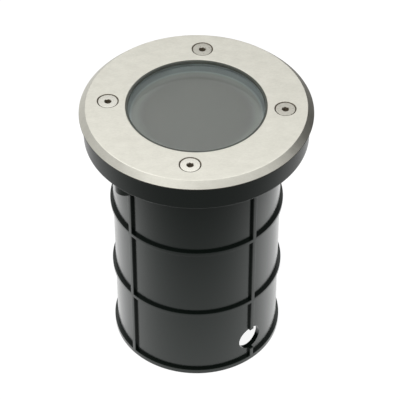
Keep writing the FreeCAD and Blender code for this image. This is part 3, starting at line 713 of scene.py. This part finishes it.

# %% [markdown]
# ## Painted shade in the recesses
# The gaps round the screws' heads and the key sockets get a dark brown finish as painted
# shade. It is a finish for faces of the ring and the screws, not a piece.

# %% Painted recess shade
# Painted shade: a dark brown finish for the sinks round the heads and for the key sockets.
def painted_recess_shade(s):
    shade_mottle = s.grain(0.4 * MM)
    return {
        "Base Color": s.mix(shade_mottle, (0.070, 0.058, 0.040), (0.180, 0.152, 0.112)),
        "Roughness": 0.50 + 0.25 * shade_mottle,
        "Normal": s.bump(shade_mottle, 0.03 * MM, 0.6),
    }


recess_shade = finish("painted_recess_shade", painted_recess_shade, {"Specular IOR Level": 0.3})
print("dirt ready")

# %% [markdown]
# ## Black plastic and rubber
# The sleeve is moulded in black plastic with a spark-eroded mould: a dark base, a soft gloss
# and a fine pebble that only shows in the highlights. The gland is glossier, the rubber
# duller and dustier. The seal round the glass is silicone of a dark grey.

# %% Black finishes
def moulded_black(s):
    pebble = s.grain(0.35 * MM, detail=2.0)
    flow = s.grain(26 * MM, (1.0, 1.0, 0.35), detail=2.0)
    return {
        "Base Color": s.mix(flow, (0.0020, 0.0040, 0.0028), (0.0032, 0.0056, 0.0042)),
        "Roughness": 0.17 + 0.06 * flow + 0.05 * pebble,
        "Normal": s.bump(pebble, 0.006 * MM),
    }


def gland_black(s):
    pebble = s.grain(0.5 * MM, detail=1.0)
    return {
        "Base Color": s.mix(pebble, (0.016, 0.016, 0.016), (0.024, 0.024, 0.025)),
        "Roughness": 0.30 + 0.10 * pebble,
        "Normal": s.bump(pebble, 0.008 * MM),
    }


def soft_rubber(s):
    dust = s.grain(3.0 * MM, detail=4.0, roughness=0.6)
    return {
        "Base Color": s.mix(dust, (0.012, 0.012, 0.012), (0.032, 0.031, 0.030)),
        "Roughness": 0.55 + 0.20 * dust,
        "Normal": s.bump(dust, 0.010 * MM),
    }


def grey_silicone(s):
    dust = s.grain(1.5 * MM)
    return {
        "Base Color": s.mix(dust, (0.052, 0.058, 0.048), (0.078, 0.085, 0.073)),
        "Roughness": 0.45 + 0.20 * dust,
        "Normal": s.bump(dust, 0.008 * MM),
    }


silicone = finish("grey_silicone", grey_silicone)
sleeve_black = finish("moulded_black_plastic", moulded_black, {
    "IOR": 1.5, "Specular Tint": (0.93, 1.0, 0.97, 1.0)})
gland_plastic = finish("gland_black_plastic", gland_black)
rubber = finish("black_rubber", soft_rubber, {"Specular IOR Level": 0.4})
print("black finishes ready")

# %% [markdown]
# ## Trim ring
# The ring is a flat washer with a broad bevel and four countersunk holes. It is spun as one
# profile, then the holes are cut with a turned cutter that is a hair wider at the top, so
# each hole has the bright broken edge that a countersink leaves. At the end the faces in
# the sinks get painted shade, and the outer wall is painted near-black steel as shade.

# %% Trim ring
SINK_R = radii("trim_ring", TOP - NEAR, x=0.0, y=-SCREW_CIRCLE)[0]
HOLE_R = radii("trim_ring", RING_FOOT - NEAR, RING_FOOT + NEAR, 0.0, -SCREW_CIRCLE)[0]
SINK_Z = TOP - 0.35 * MM     # the sink is straight above this height and a cone below it
HOLE_EDGE = 0.12 * MM        # how far its top edge is broken
HOLE_SEGMENTS = 64

ring_profile = [
    (REBATE_R, RING_FOOT), (RING_R, RING_FOOT, FINE), (RING_R, TOP - BEVEL, EASY),
    (RING_R - BEVEL, TOP, BLUNT), (OPENING_R, TOP, EASY), (OPENING_R, gasket_high.z, HAIR),
    (REBATE_R, gasket_high.z)]
hole_profile = [
    (0, RING_FOOT - MM), (HOLE_R, RING_FOOT - MM), (HOLE_R, SINK_Z - (SINK_R - HOLE_R)),
    (SINK_R, SINK_Z), (SINK_R, TOP - HOLE_EDGE), (SINK_R + HOLE_EDGE, TOP),
    (SINK_R + HOLE_EDGE, TOP + MM), (0, TOP + MM)]
ring = make_object("trim_ring_steel", lathe(ring_profile))
carved(ring, "DIFFERENCE", [
    lathe(hole_profile, HOLE_SEGMENTS, x=SCREW_CIRCLE * a, y=SCREW_CIRCLE * b)
    for a, b in SIDES.values()])
dress(ring, "trim", "brushed_steel_trim", steel_sheet, "trim_ring")

# %% Painted shade in the sinks and on the rim
STEEP = 0.5                  # a wall's normal points up or down by less than this


def in_a_sink(middle, normal):
    nearest = min(math.hypot(middle.x - SCREW_CIRCLE * a, middle.y - SCREW_CIRCLE * b)
                  for a, b in SIDES.values())
    return nearest < SINK_R + NEAR and middle.z < TOP - HOLE_EDGE and normal.z > -STEEP


def on_the_rim(middle, normal):
    return abs(normal.z) < STEEP and math.hypot(middle.x, middle.y) > RING_R - HAIR


# Painted shade on the sinks' faces round the screws' heads.
refinish(ring, recess_shade, in_a_sink)
# Painted shade: the ring's outer wall gets the near-black steel.
refinish(ring, rim_shade_steel, on_the_rim)

# %% [markdown]
# ## Trim screws
# Four M5 countersunk screws with a hexagon socket. The thread is pressed into the shank by
# the lathe, the socket is cut with a prism, and a shallow cone breaks the socket's mouth.
# Deep in each socket the faces are painted dark brown as shade.

# %% Trim screw sizes
THREAD_R = 2.5 * MM
THREAD_PITCH = 0.8 * MM
THREAD_DEPTH = 0.35 * MM
THREAD_RUN_OUT = 0.4 * MM    # the thread ends this far under the head's cone
SCREW_SEGMENTS = 48
TIP_BREAK = 0.5 * MM         # chamfer at the tip
HEAD_RIM = 0.3 * MM          # straight edge of the head above its cone
HEAD_EDGE = 0.15 * MM
KEY_ACROSS = 3.0 * MM
KEY_DEPTH = 2.0 * MM
KEY_TURNS = {"front": 1.75, "right": 1.75, "back": 1.40, "left": 1.40}    # radians, as tightened
MOUTH_R = KEY_ACROSS / 2 + 0.28 * MM
MOUTH_SLOPE = 0.32 * MM      # the cone in the socket's mouth: its width
MOUTH_DEPTH = 0.30 * MM      # and its depth
OVER = 0.02 * MM             # cutters stand this far out of the head
SHADE_DEPTH = 0.28 * MM       # the socket is painted as shade below this depth
# Painted shade: these two screws get the darker copy of the steel.
SHADED_SCREWS = ("right", "back")

TIP = screw_low.z
HEAD_BASE = HEAD_TOP - HEAD_RIM - (HEAD_R - THREAD_R)
print("shank", round((HEAD_BASE - TIP) / MM, 2), "mm long, head",
      round((HEAD_TOP - HEAD_BASE) / MM, 2), "mm high")

# %% Trim screws
def socket_screw(x, y):
    shank = rows_between(THREAD_R, TIP + TIP_BREAK, HEAD_BASE, THREAD_PITCH / ROWS_A_TURN)
    groove = thread(THREAD_R, THREAD_DEPTH, THREAD_PITCH,
                    TIP + TIP_BREAK, HEAD_BASE - THREAD_RUN_OUT)
    return lathe([
        (0, TIP), (THREAD_R - TIP_BREAK, TIP), *shank, (HEAD_R, HEAD_TOP - HEAD_RIM, HAIR),
        (HEAD_R, HEAD_TOP, HEAD_EDGE), (0, HEAD_TOP)], SCREW_SEGMENTS, groove, x, y)


def key_mouth(x, y):
    return lathe([
        (0, HEAD_TOP - MOUTH_DEPTH), (MOUTH_R - MOUTH_SLOPE, HEAD_TOP - MOUTH_DEPTH),
        (MOUTH_R, HEAD_TOP + OVER), (0, HEAD_TOP + OVER)], SCREW_SEGMENTS, x=x, y=y)


def in_the_key(x, y):
    """A test for refinish: the walls and the floor of the key socket at x, y."""
    def inside(middle, normal):
        deep = HEAD_TOP - KEY_DEPTH - NEAR < middle.z < HEAD_TOP - SHADE_DEPTH
        return deep and math.hypot(middle.x - x, middle.y - y) < MOUTH_R
    return inside


for side, (a, b) in SIDES.items():
    x, y = SCREW_CIRCLE * a, SCREW_CIRCLE * b
    screw = make_object("socket_screw_" + side, socket_screw(x, y))
    key = prism(KEY_ACROSS, HEAD_TOP - KEY_DEPTH, HEAD_TOP + MM, x, y, KEY_TURNS[side])
    carved(screw, "DIFFERENCE", [key, key_mouth(x, y)])
    # Painted shade: the darker steel goes on the shaded screws.
    steel = steel_painted_darker if side in SHADED_SCREWS else steel_bright
    dress(screw, "screw_" + side, "steel_fasteners", steel, "trim_screw_" + side)
    # Painted shade deep in the key socket.
    refinish(screw, recess_shade, in_the_key(x, y))

# %% [markdown]
# ## Glass and frosting
# The glass is one thick polished disc, so it refracts: near its far edge the eye looks into
# its side wall. The wall and the small chamfer above it are ground, not polished, so they
# get a grey finish. The underside is frosted. A rough transmitting material could show that,
# but it renders noisily and looks flat in an export, so the frosting is a thin grey disc of
# its own that lies under the clear glass.

# %% Glass finishes
PAINTED_LIGHT_FROM_R = 24 * MM      # from here outwards the frosting is painted paler, as painted light against the lip's shade
FROST_RIM_R = 31.2 * MM     # it ends here in a painted pale line, and a clear bluish rim follows
FROST_BLUR = 0.2 * MM       # half width of the step between the two
HIGHLIGHT_IN = 1.2 * MM          # the painted pale line fades this far inwards
HIGHLIGHT_OUT = 0.6 * MM         # and this far outwards


def clear_glass(s):
    smear = s.grain(18 * MM, detail=2.0)
    return {
        "Base Color": s.mix(smear, (0.90, 0.945, 0.935), (0.93, 0.965, 0.955)),
        "Roughness": 0.012 + 0.02 * smear,
    }


def ground_edge(s):
    speck = s.grain(0.10 * MM, detail=1.0)
    return {
        "Base Color": s.mix(speck, (0.300, 0.335, 0.332), (0.360, 0.395, 0.390)),
        "Roughness": 0.50 + 0.15 * speck,
    }


# Painted light: the frosting grows paler towards the rim and ends in a painted pale line, making
# up for the shade of the ring's lip; the clear rim beyond is bluish and is painted lighter
# outwards for the same reason.
def frosting_and_painted_light(s):
    haze = s.grain(22 * MM)
    speck = s.grain(0.12 * MM, detail=1.0)
    reach = s.length(s.place((1.0, 1.0, 0.0)))
    middle = s.mix(haze, (0.196, 0.190, 0.173), (0.223, 0.215, 0.195))
    frost_painted_paler = s.mix(s.between(reach, PAINTED_LIGHT_FROM_R, FROST_RIM_R), middle, (0.410, 0.410, 0.382))
    outwards = s.between(reach, FROST_RIM_R, GLASS_R)
    rim = s.mix(outwards, (0.330, 0.360, 0.358), (0.500, 0.538, 0.535))
    disc = s.mix(s.between(reach, FROST_RIM_R - FROST_BLUR, FROST_RIM_R + FROST_BLUR), frost_painted_paler, rim)
    into_highlight = s.between(reach, FROST_RIM_R - HIGHLIGHT_IN, FROST_RIM_R)
    out_of_highlight = s.between(reach, FROST_RIM_R, FROST_RIM_R + HIGHLIGHT_OUT)
    return {
        "Base Color": s.mix(into_highlight * (1.0 - out_of_highlight), disc, (0.490, 0.530, 0.520)),
        "Roughness": 0.45 + 0.15 * speck,
        "Normal": s.bump(speck, 0.004 * MM, 0.6),
    }


edge_grey = finish("ground_glass_edge", ground_edge, {"Specular IOR Level": 0.3})
glass_clear = finish("clear_glass", clear_glass, {"Transmission Weight": 1.0, "IOR": 1.5})
frosting_painted_light = finish("frosting_and_painted_light", frosting_and_painted_light, {"Specular IOR Level": 0.25})
print("frosting out to", round(FROST_RIM_R / MM, 1), "of", round(GLASS_R / MM, 1), "mm")

# %% Glass
SKIN = 0.02 * MM             # air between pieces that would share a face
ARRIS = 0.6 * MM             # chamfer round the top
POLISHED = 0.9               # a face that looks up or down more than this is clear
GLASS_FOOT = glass_low.z + 3 * SKIN
GLASS_FACE = GLASS_LIP - SKIN
DISC_R = GLASS_R - SKIN

glass = make_object("front_glass_clear", lathe([
    (0, GLASS_FOOT), (DISC_R, GLASS_FOOT), (DISC_R, GLASS_FACE - ARRIS),
    (DISC_R - ARRIS, GLASS_FACE), (0, GLASS_FACE)]))
dress(glass, "trim", "frosted_glass", glass_clear, "front_glass")
refinish(glass, edge_grey, lambda middle, normal: abs(normal.z) < POLISHED)

frosting = make_object("glass_frosting", lathe([
    (0, GLASS_FOOT - 2 * SKIN), (DISC_R - SKIN, GLASS_FOOT - 2 * SKIN),
    (DISC_R - SKIN, GLASS_FOOT - SKIN), (0, GLASS_FOOT - SKIN)]))
dress(frosting, "trim", "frosted_glass", frosting_painted_light)

# %% [markdown]
# ## Gasket
# The gasket is a soft channel round the glass's edge, with a bead that fills the gap to the
# steel and shows as a dark grey line all round.

# %% Gasket
BEAD_SHOWS = 0.35 * MM       # the bead covers this much of the glass
BEAD_DROP = 0.2 * MM         # its top lies this far below the steel
BEAD_EDGE = 0.15 * MM
GASKET_FOOT = gasket_low.z
GASKET_R = radii("glass_gasket")[1]
GASKET_FOOT_R = radii("glass_gasket", high=GASKET_FOOT + NEAR)[0]
BEAD_IN_R = radii("glass_gasket", gasket_high.z - NEAR)[0] - BEAD_SHOWS
BEAD_OUT_R = OPENING_R - SKIN
BEAD_TOP = TOP - BEAD_DROP

gasket = make_object("glass_edge_rubber", lathe([
    (GASKET_FOOT_R, GASKET_FOOT, FINE), (GASKET_R, GASKET_FOOT, FINE),
    (GASKET_R, gasket_high.z, HAIR), (BEAD_OUT_R, gasket_high.z),
    (BEAD_OUT_R, BEAD_TOP, BEAD_EDGE), (BEAD_IN_R, BEAD_TOP, BEAD_EDGE),
    (BEAD_IN_R, GLASS_LIP, HAIR), (GLASS_R, GLASS_LIP), (GLASS_R, glass_low.z),
    (GASKET_FOOT_R, glass_low.z)]))
dress(gasket, "trim", "black_rubber", silicone, "glass_gasket")

# %% [markdown]
# ## Ground sleeve
# One moulding: a thin tube with three rings and four ribs, and a cup on top that stands out
# all round under the steel. The tube, rings and cup are one spun profile with small mould
# radii on its outer corners; the inner corners stay sharp and read as black lines. The ribs
# and the two screw bosses are joined to it, and the cable hole is cut with a cutter that
# also breaks its edge.

# %% Sleeve sizes
sleeve_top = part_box("mounting_sleeve")[1]
CUP_R = sleeve_top.x
CUP_TOP = sleeve_top.z
BORE_R, BAND_R = radii("mounting_sleeve", high=NEAR)
TUBE_WALL = 2.5 * MM
TUBE_R = BORE_R + TUBE_WALL
CUP_HEIGHT = 12.8 * MM
CUP_WALL = 2.8 * MM
CUP_FLOOR_T = 2.6 * MM
CUP_BOTTOM = CUP_TOP - CUP_HEIGHT
CUP_FLOOR = CUP_BOTTOM + CUP_FLOOR_T
BAND_T = 2.0 * MM
BAND_TOPS = (43.0 * MM, 84.6 * MM)
FOOT_T = 2.5 * MM
MOULD_EDGE = 0.22 * MM
CUP_EDGE = 0.4 * MM
INTO_CUP = 0.5 * MM          # ribs and bosses run this far into the cup's floor
print("sleeve tube radius", round(TUBE_R / MM, 2), "cup radius", round(CUP_R / MM, 2))

# %% Sleeve shell
profile = [(BORE_R, 0, MOULD_EDGE), (BAND_R, 0, MOULD_EDGE), (BAND_R, FOOT_T, MOULD_EDGE),
           (TUBE_R, FOOT_T)]
for top in BAND_TOPS:
    profile += [(TUBE_R, top - BAND_T), (BAND_R, top - BAND_T, MOULD_EDGE),
                (BAND_R, top, MOULD_EDGE), (TUBE_R, top)]
profile += [
    (TUBE_R, CUP_BOTTOM), (CUP_R, CUP_BOTTOM, CUP_EDGE), (CUP_R, CUP_TOP, MOULD_EDGE),
    (CUP_R - CUP_WALL, CUP_TOP, MOULD_EDGE), (CUP_R - CUP_WALL, CUP_FLOOR),
    (BORE_R, CUP_FLOOR, MOULD_EDGE)]
sleeve = make_object("ground_sleeve_shell", lathe(profile))
print("sleeve profile of", len(profile), "corners")

# %% Ribs
RIB_W = 2.2 * MM
RIB_TURNS = (-45, 45, 135, -135)
RIB_SHY = 0.02 * MM          # the ribs' faces lie this far inside the bands'
RIB_FOOT = 0.4 * MM
RIB_ROUND = 0.35 * MM


def rib(turn):
    """An upright bar across the tube's wall, its outer edges rounded."""
    made = box_mesh((-RIB_W / 2, -BAND_R + RIB_SHY, RIB_FOOT),
                    (RIB_W / 2, -TUBE_R + MM, CUP_BOTTOM + INTO_CUP))
    outer = [e for e in made.edges if all(v.co.y < -TUBE_R for v in e.verts)
             and abs(e.verts[0].co.z - e.verts[1].co.z) > MM]
    bmesh.ops.bevel(made, geom=outer, offset=RIB_ROUND, segments=ROUND_STEPS, affect="EDGES",
                    profile=0.5)
    return spun(made, turn)


print(len(RIB_TURNS), "ribs of", round(RIB_W / MM, 1), "mm")

# %% Screw bosses
BOSS_R = 5.0 * MM
BOSS_DROP = 10.5 * MM
BOSS_OUT = 3.3 * MM          # a boss's middle lies this far outside the tube
BOSS_CIRCLE = TUBE_R + BOSS_OUT
BOSS_TURNS = (-45, 135)
BOSS_SKIN = 2.0 * MM         # the boss stays closed at its foot
PILOT_R = 2.05 * MM
PILOT_SEGMENTS = 32
BOSS_FOOT = CUP_BOTTOM - BOSS_DROP


def boss(turn):
    return spun(lathe([
        (0, BOSS_FOOT), (BOSS_R, BOSS_FOOT, BLUNT), (BOSS_R, CUP_BOTTOM + INTO_CUP),
        (0, CUP_BOTTOM + INTO_CUP)], HOLE_SEGMENTS, y=-BOSS_CIRCLE), turn)


def pilot_hole(turn):
    """The hole in a boss that a fixing screw cuts its thread into."""
    low = BOSS_FOOT + BOSS_SKIN
    return spun(lathe([(0, low), (PILOT_R, low), (PILOT_R, CUP_FLOOR + MM), (0, CUP_FLOOR + MM)],
                      PILOT_SEGMENTS, y=-BOSS_CIRCLE), turn)


print(len(BOSS_TURNS), "bosses on radius", round(BOSS_CIRCLE / MM, 2))

# %% Cable hole, and the sleeve put together
CABLE_HOLE_R = 6.7 * MM
CABLE_HOLE_Z = 14.3 * MM
CABLE_HOLE_TURN = 45
CABLE_HOLE_FLARE = 0.4 * MM
CUTTER_IN = 6 * MM           # the cutter starts this far inside the bore
CUTTER_OUT = 4 * MM          # and ends this far outside the bands


def cable_hole():
    """A turned cutter laid on its side: the hole, wider at the outer face to break its edge."""
    face = BAND_R + NEAR
    flared = CABLE_HOLE_R + CABLE_HOLE_FLARE
    made = lathe([
        (0, BORE_R - CUTTER_IN), (CABLE_HOLE_R, BORE_R - CUTTER_IN),
        (CABLE_HOLE_R, face - CABLE_HOLE_FLARE), (flared, face), (flared, BAND_R + CUTTER_OUT),
        (0, BAND_R + CUTTER_OUT)], HOLE_SEGMENTS)
    bmesh.ops.rotate(made, verts=made.verts, cent=(0, 0, 0),
                     matrix=Matrix.Rotation(math.pi / 2, 3, "X"))
    bmesh.ops.translate(made, verts=made.verts, vec=(0, 0, CABLE_HOLE_Z))
    return spun(made, CABLE_HOLE_TURN)


carved(sleeve, "UNION", [rib(t) for t in RIB_TURNS] + [boss(t) for t in BOSS_TURNS])
carved(sleeve, "DIFFERENCE", [cable_hole()] + [pilot_hole(t) for t in BOSS_TURNS])
dress(sleeve, "ground_sleeve", "sleeve_plastic", sleeve_black, "mounting_sleeve")

# %% [markdown]
# ## Cable gland
# The gland hangs under the housing and shows when the lamp unit is lifted. Its body is turned
# in one piece, with a thread above the flange for the locknut and one below for the dome nut.
# Then a hexagon prism takes the flats off the flange, as a mill does; the threads are thinner
# than the flats, so they stay whole.

# %% Gland sizes
GLAND_PITCH = 1.5 * MM
GLAND_DEPTH = 0.6 * MM
GLAND_END = 0.6 * MM         # plain chamfered ends of both threads
GLAND_SLICE = (0.5 * MM, 0.7 * MM)    # the threads' radii are read this far from the ends
GLAND_SEGMENTS = 72
NUT_GAP = 0.3 * MM           # between the flange and the dome nut
CORNER_SLOPE = math.radians(30)       # the hexagon's corners are turned off at this angle

gland_low, gland_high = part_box("gland_body")
GLAND_FLATS = 2 * gland_high.y
GLAND_CORNER = gland_high.x
GLAND_BORE_R = radii("gland_body")[0]
GLAND_UPPER_R = radii("gland_body", *(gland_high.z - d for d in reversed(GLAND_SLICE)))[1]
GLAND_LOWER_R = radii("gland_body", *(gland_low.z + d for d in GLAND_SLICE))[1]
FLANGE_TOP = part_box("gland_washer")[0].z
FLANGE_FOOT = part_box("gland_nut")[1].z + NUT_GAP
CORNER_DROP = (GLAND_CORNER - GLAND_FLATS / 2) * math.tan(CORNER_SLOPE)
print("gland threads", round(2 * GLAND_UPPER_R / MM, 2), "mm above and",
      round(2 * GLAND_LOWER_R / MM, 2), "mm below")

# %% Gland body
lower_thread = thread(GLAND_LOWER_R, GLAND_DEPTH, GLAND_PITCH,
                      gland_low.z + GLAND_END, FLANGE_FOOT - GLAND_PITCH)
upper_thread = thread(GLAND_UPPER_R, GLAND_DEPTH, GLAND_PITCH,
                      FLANGE_TOP + GLAND_PITCH, gland_high.z - GLAND_END)


def gland_threads(r, z, angle):
    return lower_thread(upper_thread(r, z, angle), z, angle)


gland_row = GLAND_PITCH / ROWS_A_TURN
gland = make_object("gland_body_threaded", lathe([
    (GLAND_BORE_R, gland_low.z, EASY), (GLAND_LOWER_R - GLAND_END, gland_low.z),
    *rows_between(GLAND_LOWER_R, gland_low.z + GLAND_END, FLANGE_FOOT, gland_row),
    (GLAND_FLATS / 2, FLANGE_FOOT), (GLAND_CORNER, FLANGE_FOOT + CORNER_DROP),
    (GLAND_CORNER, FLANGE_TOP - CORNER_DROP), (GLAND_FLATS / 2, FLANGE_TOP),
    *rows_between(GLAND_UPPER_R, FLANGE_TOP, gland_high.z - GLAND_END, gland_row),
    (GLAND_UPPER_R - GLAND_END, gland_high.z), (GLAND_BORE_R, gland_high.z, EASY)],
    GLAND_SEGMENTS, gland_threads))
carved(gland, "INTERSECT", [prism(GLAND_FLATS, gland_low.z - MM, gland_high.z + MM)])
dress(gland, "lamp_unit", "gland_plastic", gland_plastic, "gland_body")

# %% [markdown]
# ## Fixing screws
# Two M4 cap screws hold the housing to the sleeve's bosses. They are one piece of the model,
# so both are built into one mesh before the hexagon sockets are cut.

# %% Fixing screws
FIXING_R = 2.0 * MM
FIXING_PITCH = 0.7 * MM
FIXING_DEPTH = 0.3 * MM      # of its thread
FIXING_END = 0.6 * MM        # chamfer at the tip
FIXING_HEAD_R = 4.0 * MM
FIXING_HEAD_H = 2.6 * MM
FIXING_KEY = 2.5 * MM
FIXING_KEY_DEPTH = 0.6 * FIXING_HEAD_H
FIXING_SEGMENTS = 40
fixing_tip, fixing_top = (corner.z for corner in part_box("fixing_screws"))
fixing_seat = fixing_top - FIXING_HEAD_H


def fixing_screw(turn):
    start = fixing_tip + FIXING_END
    groove = thread(FIXING_R, FIXING_DEPTH, FIXING_PITCH, start, fixing_seat - MM)
    return spun(lathe([
        (0, fixing_tip), (FIXING_R - FIXING_END, fixing_tip),
        *rows_between(FIXING_R, start, fixing_seat, FIXING_PITCH / ROWS_A_TURN),
        (FIXING_HEAD_R, fixing_seat, FINE), (FIXING_HEAD_R, fixing_top, BLUNT), (0, fixing_top)],
        FIXING_SEGMENTS, groove, y=-BOSS_CIRCLE), turn)


def fixing_key(turn):
    low = fixing_top - FIXING_KEY_DEPTH
    return spun(prism(FIXING_KEY, low, fixing_top + MM, y=-BOSS_CIRCLE), turn)


fixings = make_object("fixing_screws_steel", together([fixing_screw(t) for t in BOSS_TURNS]))
carved(fixings, "DIFFERENCE", [fixing_key(t) for t in BOSS_TURNS])
dress(fixings, "lamp_unit", "steel_fasteners", steel_bright, "fixing_screws")

# %% [markdown]
# ## Finishes for the inner pieces
# Lifting the lamp unit out shows the rest: a powder-coated casting, a white lamp with a
# ribbed lens, a glazed ceramic holder, brass and zinc-plated metal, a nylon terminal block
# and three coloured leads. They are seen from further off, so one recipe with different
# colours and grains serves them all but the casting.

# %% Inner finishes
def powder_coat(s):
    peel = s.grain(0.8 * MM, detail=2.0)
    return {
        "Base Color": s.mix(peel, (0.026, 0.027, 0.028), (0.040, 0.041, 0.043)),
        "Roughness": 0.42 + 0.12 * peel,
        "Normal": s.bump(peel, 0.03 * MM),
    }


def coloured(dark, light, size, rough, depth):
    """A finish whose colour, roughness and surface follow one noise."""
    def build(s):
        spot = s.grain(size)
        return {
            "Base Color": s.mix(spot, dark, light),
            "Roughness": rough + 0.10 * spot,
            "Normal": s.bump(spot, depth),
        }
    return build


INNER = {       # the two colours, the grain's size in mm, the roughness and the bump in mm
    "lamp_white": ((0.72, 0.72, 0.70), (0.80, 0.80, 0.78), 6.0, 0.30, 0.010),
    "lamp_lens": ((0.70, 0.72, 0.71), (0.82, 0.83, 0.81), 4.0, 0.18, 0.004),
    "ceramic": ((0.76, 0.73, 0.66), (0.86, 0.84, 0.78), 2.5, 0.28, 0.020),
    "brass": ((0.60, 0.44, 0.19), (0.74, 0.57, 0.28), 1.5, 0.25, 0.004),
    "zinc_plate": ((0.50, 0.51, 0.52), (0.66, 0.67, 0.66), 2.0, 0.32, 0.006),
    "terminal_nylon": ((0.70, 0.69, 0.63), (0.82, 0.81, 0.75), 3.0, 0.45, 0.012),
    "brown_lead": ((0.10, 0.040, 0.018), (0.15, 0.062, 0.028), 1.0, 0.38, 0.010),
    "blue_lead": ((0.020, 0.075, 0.30), (0.035, 0.11, 0.38), 1.0, 0.38, 0.010),
    "green_lead": ((0.035, 0.19, 0.030), (0.55, 0.50, 0.03), 5.0, 0.38, 0.010),
}
INNER_METALS = ("brass", "zinc_plate")

casting = finish("powder_coat", powder_coat)
inner = {name: finish(name, coloured(dark, light, size * MM, rough, depth * MM),
                      METAL if name in INNER_METALS else None)
         for name, (dark, light, size, rough, depth) in INNER.items()}
print("inner finishes:", casting.name, *inner)

# %% [markdown]
# ## Lamp lens
# The lens of the lamp is moulded with concentric ribs that spread the light. They are a
# cosine in the turned profile, a little lower than the rim, so the lens stays as tall.

# %% Lamp lens
WAVE_PITCH = 1.9 * MM
WAVE_HEIGHT = 0.35 * MM
WAVE_STEPS = 8               # points in one rib
WAVE_DROP = 0.1 * MM         # the ribs' crests lie this far below the rim
LENS_RIM = 1.6 * MM
LENS_EYE = 0.3 * MM          # the ribs end at about this radius
LENS_SEGMENTS = 128
lens_low, lens_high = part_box("lamp_lens")
LENS_R = lens_high.x

ribbed = []
reach = LENS_R - LENS_RIM
while reach > LENS_EYE:
    wave = 0.5 - 0.5 * math.cos(2 * math.pi * (LENS_R - LENS_RIM - reach) / WAVE_PITCH)
    ribbed.append((reach, lens_high.z - WAVE_DROP - WAVE_HEIGHT * wave))
    reach -= WAVE_PITCH / WAVE_STEPS
lens = make_object("lamp_lens_ribbed", lathe([
    (0, lens_low.z), (LENS_R, lens_low.z), (LENS_R, lens_high.z, BLUNT),
    (LENS_R - LENS_RIM, lens_high.z), *ribbed, (0, ribbed[-1][1])], LENS_SEGMENTS))
dress(lens, "lamp", "lamp_glass", inner["lamp_lens"], "lamp_lens")

# %% [markdown]
# ## The solids that stay
# The remaining pieces are hidden at rest and their solids already have the real shapes, so
# they keep them and only get a finish.

# %% Finishes on the solids
KEPT = [
    (casting, ["housing"]),
    (steel_bright, ["bracket_screws", "holder_screws", "earth_screw"]),
    (rubber, ["seat_seal", "gland_seal", "gland_washer"]),
    (rubber, ["screw_seal_" + side for side in SIDES]),
    (gland_plastic, ["gland_locknut", "gland_nut"]),
    (inner["lamp_white"], ["lamp_shell"]),
    (inner["ceramic"], ["lamp_base", "lampholder"]),
    (inner["brass"], ["lampholder_contacts", "terminal_screws", "lamp_pins"]),
    (inner["zinc_plate"], ["lampholder_bracket"]),
    (inner["terminal_nylon"], ["terminal_block"]),
    (inner["brown_lead"], ["lead_live"]),
    (inner["blue_lead"], ["lead_neutral"]),
    (inner["green_lead"], ["lead_earth"]),
]
for material, names in KEPT:
    for name in names:
        nodes[name].data.materials.clear()
        nodes[name].data.materials.append(material)
print(sum(len(names) for material, names in KEPT), "solids keep their shape and get a finish")

# %% [markdown]
# ## At the end
# The dressed model has to stay as large as the solids, so the solids' box is printed once
# more, in millimetres.

# %% Sizes written down
bpy.context.view_layer.update()
print("solids", [round(v / MM, 1) for v in (*cad_low, *cad_high)])
